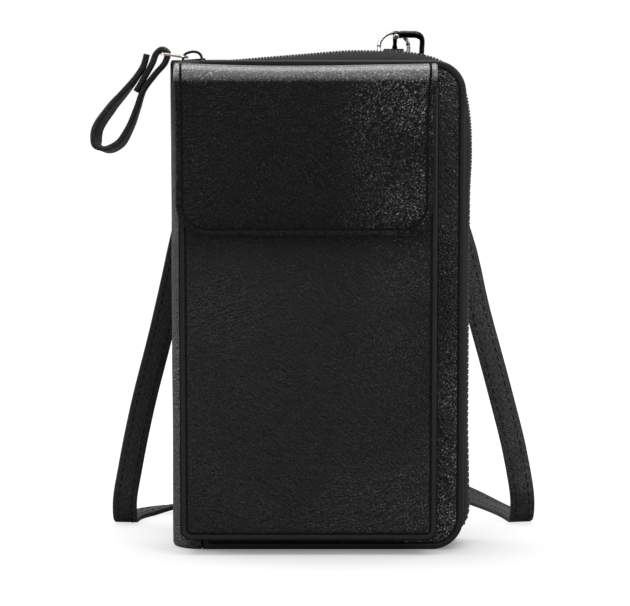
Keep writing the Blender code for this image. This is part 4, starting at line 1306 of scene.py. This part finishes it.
class WALLET_OT_slider(bpy.types.Operator):
    """Zip slider with its bridge, and the flat metal pull tab on it"""

    bl_idname = "wallet.slider"
    bl_label = "Slider and pull tab"

    LONG = 0.0100
    AHEAD = 0.0030
    NECK = (0.0012, 0.0014, 0.0004)
    WIDE = 0.0074
    KEEL = 0.0056
    THICK = 0.0010
    BRIDGE_HIGH = 0.0028
    BRIDGE_LONG = 0.0074
    BRIDGE_WIRE = 0.000525
    BRIDGE = [
        (-1, 0), (-0.95, 0.45), (-0.7, 0.8), (-0.3, 0.97),
        (0.2, 1.0), (0.6, 0.88), (0.9, 0.55), (1, 0),
    ]
    TOP_RADII = (0.0018, 0.0018, 0.0030, 0.0030)
    KEEL_RADII = (0.0012, 0.0012, 0.0022, 0.0022)
    TAB_RADII = (0.0024, 0.0024, 0.0032, 0.0032)
    TAB_RISE = math.radians(8.0)
    TAB_HALF = 0.0056
    TAB_NEAR, TAB_FAR = -0.0021, 0.0085
    TAB_THICK = 0.0010
    TAB_EYE = (-0.0013, 0.0013, -0.0013, 0.0013, 0.0012)
    TAB_SLOT = (TAB_FAR - 0.0052, TAB_FAR - 0.0012, -0.0045, 0.0045, 0.0008)

    def plate(self, bm, place, outline, low, high, edge):
        """A rounded plate in the slider's own axes."""
        flat = bmesh.new()
        slab(flat, outline, -low, -high, edge)
        turn = Matrix(((1, 0, 0, 0), (0, 0, 1, 0), (0, -1, 0, 0), (0, 0, 0, 1)))
        bmesh.ops.transform(flat, matrix=place @ turn, verts=flat.verts)
        copy = template(flat)
        bm.from_mesh(copy)
        bpy.data.meshes.remove(copy)

    def execute(self, context):
        place = axes(ZIP_FIRST + Vector((0, MIDDLE_Y, 0)), ZIP_ALONG, (0, 1, 0))
        left, right = self.AHEAD - self.LONG, self.AHEAD
        top, thick = TOOTH_HIGH + GAP, self.THICK
        bm = bmesh.new()
        half = self.WIDE / 2
        outline = rounded(left, right, -half, half, self.TOP_RADII)
        self.plate(bm, place, outline, top, top + thick, 0.0003)
        half = self.KEEL / 2
        outline = rounded(left, right, -half, half, self.KEEL_RADII)
        self.plate(bm, place, outline, -GAP - thick, -GAP, 0.0002)
        back, ahead, half = self.NECK
        outline = rounded(left + back, right - ahead, -half, half, 0.0003, 3)
        self.plate(bm, place, outline, -GAP - thick / 2, top + thick / 2, 0)
        middle, reach = (left + right) / 2, self.BRIDGE_LONG / 2
        seat, high = top + thick / 2, self.BRIDGE_HIGH + thick / 2
        path = [place @ Vector((middle + x * reach, 0, seat + z * high)) for x, z in self.BRIDGE]
        rod(bm, smooth_path(path, 5), self.BRIDGE_WIRE, 14)
        piece("slider_body", bm, gunmetal(), "zip_slider", "zip_slider", 50)
        lift = 0.0021 * math.sin(self.TAB_RISE + ZIP_SLOPE)
        self.tab(place @ Vector((middle - reach, 0, top + thick + GAP + 0.0005 + lift)))
        return {"FINISHED"}

    def tab(self, foot):
        rise, half = self.TAB_RISE, self.TAB_HALF
        place = axes(foot, (-math.cos(rise), 0, math.sin(rise)), (0, -1, 0))
        outer = rounded(self.TAB_NEAR, self.TAB_FAR, -half, half, self.TAB_RADII)
        eye = rounded(*self.TAB_EYE, 5)
        slot = rounded(*self.TAB_SLOT, 5)
        low = -self.TAB_THICK / 2
        bm = bmesh.new()
        loops = []
        for outline in (outer, eye, slot):
            verts = [bm.verts.new(place @ Vector((x, y, low))) for x, y in outline]
            loops += [bm.edges.new(pair) for pair in zip(verts, verts[1:] + verts[:1])]
        bmesh.ops.triangle_fill(bm, use_beauty=True, use_dissolve=True, edges=loops)
        thicken(bm, bm.faces[:], place.to_3x3() @ Vector((0, 0, self.TAB_THICK)))
        bmesh.ops.recalc_face_normals(bm, faces=bm.faces)
        bm.normal_update()
        rims = [e for e in bm.edges if len(e.link_faces) == 2 and e.calc_face_angle(0) > 1.2]
        round_off(bm, rims, 0.00022, 3)
        gold = metal("pale_gold_plate", colours().gold, 0.20)
        piece("pull_tab_plate", bm, gold, "pull_tab", "pull_tab", 50)


class WALLET_OT_loop(bpy.types.Operator):
    """Leather finger loop through the pull tab, its lap sewn"""

    bl_idname = "wallet.loop"
    bl_label = "Finger loop"

    ROUTE = [
        (-0.0104, -0.0146), (-0.0072, -0.0092), (-0.0040, -0.0036), (-0.0022, 0.0004),
        (-0.0002, 0.0018), (0.0019, 0.0003), (0.0013, -0.0026), (-0.0030, -0.0080),
        (-0.0077, -0.0144), (-0.0100, -0.0210), (-0.0135, -0.0297), (-0.0174, -0.0354),
        (-0.0222, -0.0373), (-0.0256, -0.0360), (-0.0262, -0.0315), (-0.0208, -0.0218),
        (-0.0144, -0.0143), (-0.0105, -0.0094), (-0.0074, -0.0044), (-0.0062, -0.0002),
    ]
    TWIST = [0] * 9 + [0.15, 0.45, 0.8, 1, 1, 1, 0.8, 0.4, 0.1, 0, 0]
    LEAN = Vector((0.30, 0, -0.18))
    WIDE = 0.0084
    THICK = 0.0021

    def execute(self, context):
        joint = next(j for j in frame["joints"] if j["name"] == "loop_swing")
        bar = Vector(joint["pos_m"])
        path = smooth_path([bar + Vector((x, 0, z)) for x, z in self.ROUTE], 6)
        across = []
        for i in range(len(path)):
            t = i / (len(path) - 1) * (len(self.TWIST) - 1)
            low = min(int(t), len(self.TWIST) - 2)
            twist = self.TWIST[low] + (self.TWIST[low + 1] - self.TWIST[low]) * (t - low)
            across.append((Vector((0, 1, 0)) + self.LEAN * twist).normalized())
        places = rail(path, across)
        bm = bmesh.new()
        sweep(bm, strip_profile(self.WIDE, self.THICK, 0.0006, 4), places)
        surface = leather("loop_leather", 0.18, glint=0.0, gloss=0.34)
        body = "finger_loop"
        loop = piece("finger_loop_leather", bm, surface, body, body, 60)
        rows = strip_rows(places[2:-2], self.WIDE / 2 - 0.0012, self.THICK / 2, 0.85)
        stitches = sew("finger_loop_stitches", body, rows)
        for thing in (loop, stitches):
            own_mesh(thing)
        return {"FINISHED"}


RING_X = 0.0295
RING_LEFT_X = -0.0350
RING_LEFT_DROP = 0.0045
RING_WIRE = 0.0008
RING_HALF = 0.0058
RING_HIGH = 0.0083
RING_FLOP = math.radians(128.0)
TAB_CLOTH = 0.0009
TAB_CLOTH_LONG = 0.0090
HOOK_LONG = 0.0168
HOOK_WIDE = 0.0128
HOOK_THICK = 0.0020
HOOK_BAR = 0.0020
HOOK_HEAD = 0.0030
HOOK_LEAN = math.radians(45.0)
LEFT_LEAN = math.radians(17.0)
HOOK_CROSS = 0.0055
COLLAR_R = 0.0024
COLLAR_LONG = 0.0029
STUD_R = 0.0012
EYE_WIDE = 0.0140
EYE_OPEN = 0.0054
EYE_BAR = 0.0016
EYE_THICK = 0.0018
STRAP_WIDE = 0.0100
STRAP_THICK = 0.0022
STRAP_FOLD_LONG = 0.0260
STRAP_EDGE = 0.0006
STRAP_SEAM = STRAP_WIDE / 2 - 0.0023


def ring_foot(side):
    """Middle of a D-ring's bar: the right one over the top edge, the left one behind it."""
    away = GAP + TAB_CLOTH + GAP + RING_WIRE
    if side > 0:
        return Vector((RING_X, 0.0002, HEIGHT + away))
    return Vector((RING_LEFT_X, BACK_HIGH.y + away, HEIGHT - RING_LEFT_DROP))


def hook_places():
    """Crest and axes of the right hook, the left hook and the left hook's turned eye."""
    lean = Vector((0, math.sin(HOOK_LEAN), -math.cos(HOOK_LEAN)))
    cross = ring_foot(1) + Vector((RING_HALF, 0, RING_HIGH * 0.58))
    right = axes(cross - lean * HOOK_CROSS, (1, 0, 0), lean)
    up = Vector((0, math.sin(RING_FLOP), math.cos(RING_FLOP)))
    hang = ring_foot(-1) + up * RING_HIGH
    crest = hang + Vector((0, 0.0025, RING_WIRE + 2 * GAP + HOOK_HEAD))
    down = Vector((-math.sin(LEFT_LEAN), 0, -math.cos(LEFT_LEAN)))
    left = axes(crest, (0, -1, 0), down)
    turned = axes(crest, (-down.z, 0, down.x), down)
    return right, left, turned


class WALLET_OT_rings(bpy.types.Operator):
    """D-rings of round wire on sewn leather tabs"""

    bl_idname = "wallet.rings"
    bl_label = "D-rings and tabs"

    CORNER = 0.0009
    TAB_WIDE = 0.0080
    SEAM_HALF = 0.0030
    SEAM_TOP = 0.0034
    SEAM_LOW = 0.0012

    def execute(self, context):
        for name, side, flop in (("right", 1, 0.0), ("left", -1, RING_FLOP)):
            self.ring(name, side, flop)
            self.tab(name, side)
        return {"FINISHED"}

    def ring(self, name, side, flop):
        foot = ring_foot(side)
        away, corner = RING_HALF - self.CORNER, self.CORNER
        outline = arc((away, corner), corner, -math.pi / 2, 0, 5)
        outline += arc((0, RING_HIGH - RING_HALF), RING_HALF, 0.06, math.pi - 0.06, 30)
        outline += arc((-away, corner), corner, math.pi, 1.5 * math.pi, 5)
        outline += [(x, 0) for x in (-0.0025, 0, 0.0025)]
        up = Vector((0, math.sin(flop), math.cos(flop)))
        wire = [foot + Vector((x, 0, 0)) + up * z for x, z in outline]
        bm = bmesh.new()
        rod(bm, wire, RING_WIRE, 14, up.cross(Vector((1, 0, 0))))
        node = "d_ring_" + name
        piece(node + "_wire", bm, nickel(), "ring_" + name, node, None)

    def tab(self, name, side):
        foot = ring_foot(side)
        away = RING_WIRE + GAP + TAB_CLOTH / 2
        back = BACK_HIGH.y + GAP + TAB_CLOTH / 2
        if side > 0:
            low = HEIGHT - TAB_CLOTH_LONG
            turn = arc((foot.y, foot.z), away, 0.0, math.pi * 1.12, 20)
            line = [(back, low + TAB_CLOTH_LONG * i / 6) for i in range(6)]
            line += [(back, HEIGHT), *turn]
            face = back
        else:
            low = foot.z - TAB_CLOTH_LONG
            turn = arc((foot.y, foot.z), away, math.pi, 0.0, 20)
            face = back + TAB_CLOTH + GAP
            meet = foot.z - away * 2
            line = [(back, low), (back, meet), *turn, (face, meet), (face, low)]
        places = rail([Vector((foot.x, y, z)) for y, z in line], Vector((1, 0, 0)))
        bm = bmesh.new()
        sweep(bm, strip_profile(self.TAB_WIDE, TAB_CLOTH, 0.0003), places)
        node = "ring_tab_" + name
        piece(node + "_strip", bm, plain_leather(), "back_half", node, 60)
        y = face + TAB_CLOTH / 2
        out = Vector((0, 1, 0))
        left, right = foot.x - self.SEAM_HALF, foot.x + self.SEAM_HALF
        top, base = low + TAB_CLOTH_LONG - self.SEAM_TOP, low + self.SEAM_LOW
        square = [(left, top), (left, base), (right, base), (right, top), (left, top)]
        rows = [(upright(square, y), out), (upright([(left, base), (right, top)], y), out)]
        sew(node + "_stitches", "back_half", rows)


class WALLET_OT_clasps(bpy.types.Operator):
    """Swivel hooks with their sprung gates, pins and eyes"""

    bl_idname = "wallet.clasps"
    bl_label = "Swivel hooks"

    CREST = HOOK_HEAD * 0.52
    CREST_FAT = 0.48
    SHOULDER = 0.0035
    BEND = 0.0040
    LEVER = (0.0015, 0.0009, 0.0003)
    GATE_IN, GATE_OVER, GATE_FREE = 0.0011, 0.0014, 0.0004
    PIN = 0.00058
    PIN_CAP = (0.00115, 0.00130, 0.00050)
    EYE_RADII = (0.0012, 0.0022, 0.0022, 0.0012)
    COLLAR_EDGE = 0.0004
    COLLAR_SHARE = 0.86
    RUNGS = [
        (0.0, 1.0), (0.08, 1.2), (0.2, 1.2), (0.5, 1.0),
        (0.62, 1.4), (0.72, 1.4), (0.8, 0.9), (1.0, 0.8),
    ]

    def execute(self, context):
        right, left, turned = hook_places()
        for name, place, eye_place in (("right", right, right), ("left", left, turned)):
            self.hook(name, place)
            self.gate(name, place)
            self.pin(name, place)
            self.eye(name, eye_place)
        return {"FINISHED"}

    def cast(self, name, bm, place, body, node):
        bmesh.ops.transform(bm, matrix=place, verts=bm.verts)
        piece(name, bm, gunmetal(), body, node, 50)

    def crook(self):
        """Centre line of the hook: from the throat's tip round the crest, down and back."""
        half, bar, crest = HOOK_WIDE / 2, HOOK_BAR / 2, self.CREST
        line = [(-half + 0.0024, crest + 0.0006)]
        line += [(-half * 0.45, crest), (0, crest), (half * 0.45, crest)]
        upper, lower = half - bar - self.SHOULDER, half - bar - self.BEND
        line += arc((upper, crest + self.SHOULDER), self.SHOULDER, -math.pi / 2, 0, 6)
        line += [(half - bar, HOOK_LONG * 0.55)]
        low = HOOK_LONG - bar - self.BEND
        line += arc((lower, low), self.BEND, 0, math.pi / 2, 6)
        line += [(0.0, HOOK_LONG - bar)]
        line += arc((-lower, low), self.BEND, math.pi / 2, math.pi * 0.92, 6)
        return [Vector((x, y, 0)) for x, y in line]

    def hook(self, name, place):
        path = smooth_path(self.crook(), 3)
        places = []
        for i, point in enumerate(path):
            fat = 1.0 + self.CREST_FAT * clamped((self.CREST + 0.0022 - point.y) / 0.0020)
            flat = axes(point, Vector((0, 0, 1)), run_of(path, i).cross(Vector((0, 0, 1))))
            places.append(flat @ Matrix.Diagonal((1, fat, 1, 1)))
        bm = bmesh.new()
        sweep(bm, strip_profile(HOOK_THICK, HOOK_BAR, 0.0008, 5), places)
        stud_end = HOOK_LONG + GAP + COLLAR_LONG + GAP
        for start, end, radius, sides in (
            (HOOK_LONG - 0.0008, stud_end + 0.0002, STUD_R, 14),
            (stud_end, stud_end + 0.001, STUD_R + 0.0009, 18),
        ):
            rod(bm, [Vector((0, y, 0)) for y in (start, end)], radius, sides)
        node = "hook_" + name
        self.cast(node + "_body", bm, place, node, node)

    def gate(self, name, place):
        left = -HOOK_WIDE / 2 + self.GATE_IN
        top = HOOK_HEAD * 0.55 - self.GATE_OVER
        end = HOOK_LONG - HOOK_BAR - self.GATE_FREE - GAP
        places = []
        for share, wide in self.RUNGS:
            rung = axes((left, top + (end - top) * share, 0), (1, 0, 0), (0, 0, 1))
            places.append(rung @ Matrix.Diagonal((wide, 1, 1, 1)))
        bm = bmesh.new()
        sweep(bm, strip_profile(*self.LEVER), places)
        node = "gate_" + name
        self.cast(node + "_lever", bm, place, node, node)

    def pin(self, name, place):
        x = -HOOK_WIDE / 2 + HOOK_BAR * 0.75
        face = HOOK_THICK / 2 + GAP / 2
        spot = (x, HOOK_HEAD * 0.55)
        bm = riveted(place, spot, face, 0.00005, self.PIN_CAP, (18, 10), self.PIN, 14)
        node = "gate_pin_" + name
        bright = metal("bright_rivet", (0.84, 0.82, 0.76), 0.42)
        piece(node + "_rivet", bm, bright, "hook_" + name, node, None)

    def eye(self, name, place):
        start = HOOK_LONG + GAP
        window = start + COLLAR_LONG
        end = window + EYE_OPEN + EYE_BAR
        half = EYE_WIDE / 2 - EYE_BAR / 2
        low = window - EYE_BAR * 0.55
        outline = rounded(-half, half, low, end - EYE_BAR / 2, self.EYE_RADII, 6)
        bm = bmesh.new()
        rod(bm, [Vector((x, y, 0)) for x, y in outline], EYE_THICK / 2, 12, Vector((0, 0, 1)))
        outer, inner = circle(COLLAR_R, 24), circle(STUD_R + GAP, 24)
        edge, share = self.COLLAR_EDGE, self.COLLAR_SHARE
        levels = ((start, share), (start + edge, 1.0), (window - edge, 1.0), (window, share))
        rings = [[(a * swell, y, b * swell) for a, b in outer] for y, swell in levels]
        rings += [[(a, y, b) for a, b in inner] for y in (window, start)]
        loops = []
        for ring in rings:
            ring = [bm.verts.new(point) for point in ring]
            loops.append([bm.edges.new(pair) for pair in zip(ring, ring[1:] + ring[:1])])
        for one, two in zip(loops, loops[1:] + loops[:1]):
            bmesh.ops.bridge_loops(bm, edges=one + two)
        node = "eye_" + name
        self.cast(node + "_cast", bm, place, "back_half", node)


def fold_line(bar):
    """The strap end's path round the eye's bar, in the hook's own second and third axes."""
    away = math.hypot(EYE_THICK, EYE_BAR) / 2 + GAP + STRAP_THICK / 2
    lap = (STRAP_THICK + GAP) / 2
    meet = bar + away * 2.6
    end = bar + STRAP_FOLD_LONG
    short = end - 0.004
    turn = [(n, bar - t) for n, t in arc((0, 0), away, 0, math.pi, 14)]
    line = [(lap, end), (lap, end - 0.002), (lap, (meet + end) / 2), (lap, meet + 0.001)]
    line += [(away * 0.96, bar + away * 0.8), *turn]
    line += [(-away * 0.96, bar + away * 0.8), (-lap, meet + 0.001)]
    line += [(-lap, (meet + short) / 2), (-lap, short)]
    return line, lap, meet, end, short


class WALLET_OT_strap(bpy.types.Operator):
    """Shoulder strap: folded, riveted ends, two hanging runs and the put-away roll"""

    bl_idname = "wallet.strap"
    bl_label = "Shoulder strap"

    FLAT = STRAP_THICK / 2
    EDGE = STRAP_WIDE / 2
    CENTRE = Vector((0.000, 0.072, STRAP_WIDE / 2))
    RIVET = 0.0008
    RIVET_CAP = (0.0024, 0.0024, 0.0006)
    LEAD = (0.0, 0.004, 0.009)
    OUTER = 0.0320
    INNER = 0.0160
    LAYER = 0.0038
    STEPS = 24
    TURN_FROM, TURN_OVER = 0.66, 0.26
    RIGHT = [
        (0.0468, 0.0455, 0.1450), (0.0585, 0.0440, 0.1200), (0.0662, 0.0385, 0.0880),
        (0.0748, 0.0330, 0.0560), (0.0822, 0.0285, 0.0250), (0.0843, 0.0270, 0.0100),
        (0.0841, 0.0310, 0.0022), (0.0818, 0.0420, FLAT), (0.0742, 0.0620, FLAT),
        (0.0610, 0.0840, FLAT), (0.0450, 0.0985, FLAT * 2),
    ]
    LEFT = [
        (-0.0556, 0.0160, 0.1180), (-0.0588, 0.0185, 0.1040), (-0.0646, 0.0225, 0.0800),
        (-0.0724, 0.0255, 0.0500), (-0.0778, 0.0262, 0.0240), (-0.0801, 0.0262, 0.0100),
        (-0.0801, 0.0300, 0.0022), (-0.0785, 0.0400, FLAT), (-0.0695, 0.0520, FLAT),
        (-0.0540, 0.0560, FLAT), (-0.0370, 0.0490, FLAT * 2),
    ]

    def execute(self, context):
        right, _, turned = hook_places()
        bar = HOOK_LONG + GAP + COLLAR_LONG + EYE_OPEN + EYE_BAR / 2
        start = self.fold("right", right, bar)
        self.cord(start, self.fold("left", turned, bar))
        return {"FINISHED"}

    def fold(self, name, place, bar):
        """One folded end with its rivet and stitches, and where the long run starts from it."""
        line, lap, meet, end, short = fold_line(bar)
        across = place.to_3x3() @ Vector((1, 0, 0))
        places = rail([place @ Vector((0, t, n)) for n, t in line], across)
        node = "strap_end_" + name
        bm = bmesh.new()
        sweep(bm, strip_profile(STRAP_WIDE, STRAP_THICK, STRAP_EDGE), places)
        piece(node + "_fold", bm, plain_leather(), "back_half", node, 60)
        middle = (meet + short) / 2
        face = lap + STRAP_THICK / 2 + GAP
        bm = riveted(place, (0, middle), face, 0.0001, self.RIVET_CAP, (24, 12), self.RIVET, 12)
        rivet = "rivet_" + name
        piece(rivet + "_caps", bm, gunmetal(), "back_half", rivet, 60)
        rows = []
        for row in (-1, 1):
            for side, far in ((1, end), (-1, short)):
                x, n = row * STRAP_SEAM, side * (lap + STRAP_THICK / 2)
                path = [place @ Vector((x, t, n)) for t in (meet + 0.001, far - 0.001)]
                rows.append((path, place.to_3x3() @ Vector((0, 0, side))))
        sew(node + "_stitches", "back_half", rows)
        return place @ Vector((0, end + GAP, lap)), place.to_3x3() @ Vector((0, 1, 0))

    def roll(self):
        """The roll's two spiral arms as one path: in along the first, out along the second."""
        turns = (self.OUTER - self.INNER) / (2 * self.LAYER)
        steps = round(turns * self.STEPS)
        arm = []
        for i in range(steps + 1):
            angle = math.pi / 2 + 2 * math.pi * turns * i / steps
            radius = self.OUTER - 2 * self.LAYER * turns * i / steps
            arm.append(Vector((radius * math.cos(angle), radius * math.sin(angle), 0)))
        ahead = (arm[-1] - arm[-2]).normalized()
        middle = []
        for i in range(1, self.STEPS):
            start, _, leave, arrive = eased(i / self.STEPS)
            swing = ahead * self.INNER * 2.6 * (leave + arrive)
            middle.append(arm[-1] * (2 * start - 1) + swing)
        back = [-point for point in reversed(arm)]
        return [self.CENTRE + point for point in arm + middle + back]

    def lay(self, start, along, points, end, side):
        """Path and width directions of a run that turns from flat to on edge."""
        points = [start + along * lead for lead in self.LEAD] + [Vector(p) for p in points]
        points += [Vector((side[0], end.y, self.EDGE)), end + Vector((side[1], 0, 0)), end]
        path = smooth_path(points, 4)
        across = []
        for i, point in enumerate(path):
            run = run_of(path, i)
            level = Vector((1, 0, 0))
            if abs(run.z) < 0.6:
                level = Vector((-run.y, run.x, 0)).normalized()
                level = -level if level.x < 0 else level
            share = clamped((i / (len(path) - 1) - self.TURN_FROM) / self.TURN_OVER)
            angle = share * share * (3 - 2 * share) * math.pi / 2
            across.append(level * math.cos(angle) + Vector((0, 0, 1)) * math.sin(angle))
            low = self.EDGE * math.sin(angle) + self.FLAT * math.cos(angle)
            point.z = max(point.z, low)
        return path, across

    def cord(self, right, left):
        roll = self.roll()
        end = roll[0] + Vector((GAP, 0, 0))
        one, one_across = self.lay(*right, self.RIGHT, end, (0.0220, 0.003))
        end = roll[-1] - Vector((GAP, 0, 0))
        two, two_across = self.lay(*left, self.LEFT, end, (-0.0180, -0.003))
        path = one + roll[1:-1] + two[::-1]
        across = one_across + [Vector((0, 0, 1))] * (len(roll) - 2) + two_across[::-1]
        for i in range(1, len(across)):
            if across[i].dot(across[i - 1]) < 0:
                across[i] = -across[i]
        places = rail(path, across)
        bm = bmesh.new()
        sweep(bm, strip_profile(STRAP_WIDE, STRAP_THICK, STRAP_EDGE), places)
        surface = leather("strap_leather", 0.2, glint=0.1, gloss=0.42)
        solids = ("strap_right", "strap_roll", "strap_left")
        strap = piece("shoulder_strap", bm, surface, "back_half", solids, 60)
        rows = strip_rows(places, STRAP_SEAM, STRAP_THICK / 2, 0.2)
        stitches = sew("strap_stitches", "back_half", rows, shape=self.over_floor)
        sum((b - a).length for a, b in zip(path, path[1:]))

    def over_floor(self, vert):
        vert.co.z = max(vert.co.z, 0.00005)


class WALLET_OT_inside(bpy.types.Operator):
    """Linings, card slots with stitched mouths, side gussets and the zipped coin pouch"""

    bl_idname = "wallet.inside"
    bl_label = "Inside"

    SHEET = 0.0006
    FOLD = 0.0085
    COIN_PITCH = 0.00085
    COIN_TOOTH = (0.00034, 0.00030, 0.00100)

    def execute(self, context):
        dress(lining(), "back_lining", "front_lining", "page_strip")
        dress(steel(), "magnet_plate")
        for half, count, side in (("back", 3, -1), ("front", 2, 1)):
            for i in range(count):
                self.slot(f"{half}_card_slot_{i + 1}", half + "_half", side)
        for node in ("gusset_top", "gusset_bottom"):
            self.gusset(node)
        self.pouch()
        self.coin_zip()
        return {"FINISHED"}

    def slot(self, node, body, side):
        """A card slot: a thin leather sheet with a stitched mouth."""
        low, high = box_of(node)
        near, far = (high.y, low.y) if side < 0 else (low.y, high.y)
        bm = bmesh.new()
        outline = inside(low, high, 0, (0.004, 0.0006, 0.0006, 0.0006), 5)
        slab(bm, outline, near, far, 0.00015, 2)
        piece(node + "_sheet", bm, plain_leather(), body, node)
        z = high.z - 0.0018
        mouth = upright([(low.x + 0.001, z), (high.x - 0.001, z)], far + side * 0.00002)
        sew(node + "_stitches", body, [(mouth, Vector((0, side, 0)))])

    def gusset(self, node):
        """A side gusset of doubled cloth, folded to a W."""
        low, high = box_of(node)
        rim, up = (high.z, -1) if node.endswith("top") else (low.z, 1)
        steps, count = 40, 12
        line = []
        for i in range(steps + 1):
            t = i / steps
            dip = self.FOLD * (0.5 - 0.5 * math.cos(4 * math.pi * t))
            line.append((high.y + (low.y - high.y) * t, rim + up * dip))
        profile = line + [(y, z + up * self.SHEET) for y, z in reversed(line)]
        marks = [low.x, *even_marks(low.x, high.x, count), high.x]
        bm = bmesh.new()
        sweep(bm, profile, [axes((x, 0, 0), (0, 1, 0), (0, 0, 1)) for x in marks])
        thing = piece(node + "_cloth", bm, lining(), None, node, 60)
        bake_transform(thing)

    def pouch(self):
        low, high = box_of("coin_pouch")
        bm = bmesh.new()
        slab(bm, inside(low, high, 0, (0.004, 0.008, 0.008, 0.004)), high.y, low.y, 0.0006, 3)
        pressed_seam(bm, (0, -1, 0), 0.0016, 0.0008, 0.00018)
        cover = lining()
        piece("coin_pouch_cloth", bm, cover, "coin_page", "coin_pouch", rim=cover)
        seam = inside(low, high, 0.0022, (0.002, 0.006, 0.006, 0.002), 6)
        rows = [
            (upright(seam + seam[:1], y), Vector((0, side, 0)))
            for y, side in ((low.y + 0.0001, -1), (high.y, 1))
        ]
        sew("coin_pouch_stitches", "coin_page", rows)

    def coin_zip(self):
        """Small coil zip of the pouch: two rows of fine teeth over a tape."""
        low, high = box_of("coin_zip")
        middle = (low.z + high.z) / 2
        bm = bmesh.new()
        slab(bm, inside(low, high, 0, 0.0004, 3), high.y, high.y - 0.00035, 0.0001, 2)
        piece("coin_zip_tape", bm, tape_weave(), "coin_page", "coin_zip")
        tooth = bmesh.new()
        blob(tooth, Matrix(), self.COIN_TOOTH, 6, 4)
        places = []
        for i in range(int((high.x - low.x - 0.002) / self.COIN_PITCH)):
            lift = 0.00045 if i % 2 else -0.00045
            x = low.x + 0.001 + i * self.COIN_PITCH
            places.append(Matrix.Translation((x, high.y - 0.00042, middle + lift)))
        bm = bmesh.new()
        repeat(bm, template(tooth), places)
        piece("coin_zip_teeth", bm, coil_nylon(), "coin_page")
        for node, radius in (("coin_slider", 0.0016), ("coin_pull", 0.0014)):
            low, high = box_of(node)
            bm = bmesh.new()
            slab(bm, inside(low, high, 0, radius, 6), high.y, low.y, 0.00022, 3)
            piece(node + "_metal", bm, nickel(), node, node)


PIECES = [
    WALLET_OT_stage,
    WALLET_OT_strap,
    WALLET_OT_covers,
    WALLET_OT_spine,
    WALLET_OT_pocket,
    WALLET_OT_flap,
    WALLET_OT_zip,
    WALLET_OT_slider,
    WALLET_OT_loop,
    WALLET_OT_rings,
    WALLET_OT_clasps,
    WALLET_OT_inside,
]


class WALLET_PT_panel(bpy.types.Panel):
    """Buttons for the wallet's pieces"""

    bl_idname = "WALLET_PT_panel"
    bl_label = "Zip-around phone wallet"
    bl_space_type = "VIEW_3D"
    bl_region_type = "UI"
    bl_category = "Wallet"

    def draw(self, context):
        column = self.layout.column(align=True)
        for group in (context.scene.wallet_sizes, context.scene.wallet_colours):
            for name in group.bl_rna.properties.keys():
                if name not in {"rna_type", "name"}:
                    column.prop(group, name)
        for operator in PIECES:
            column.operator(operator.bl_idname)


CLASSES = [WalletSizes, WalletColours, *PIECES, WALLET_PT_panel]


def register():
    for kind in CLASSES:
        bpy.utils.register_class(kind)
    bpy.types.Scene.wallet_sizes = bpy.props.PointerProperty(type=WalletSizes)
    bpy.types.Scene.wallet_colours = bpy.props.PointerProperty(type=WalletColours)


def unregister():
    del bpy.types.Scene.wallet_colours
    del bpy.types.Scene.wallet_sizes
    for kind in reversed(CLASSES):
        bpy.utils.unregister_class(kind)


def main():
    register()
    for operator in PIECES:
        getattr(bpy.ops.wallet, operator.bl_idname.split(".")[1])()


if __name__ == "__main__":
    main()
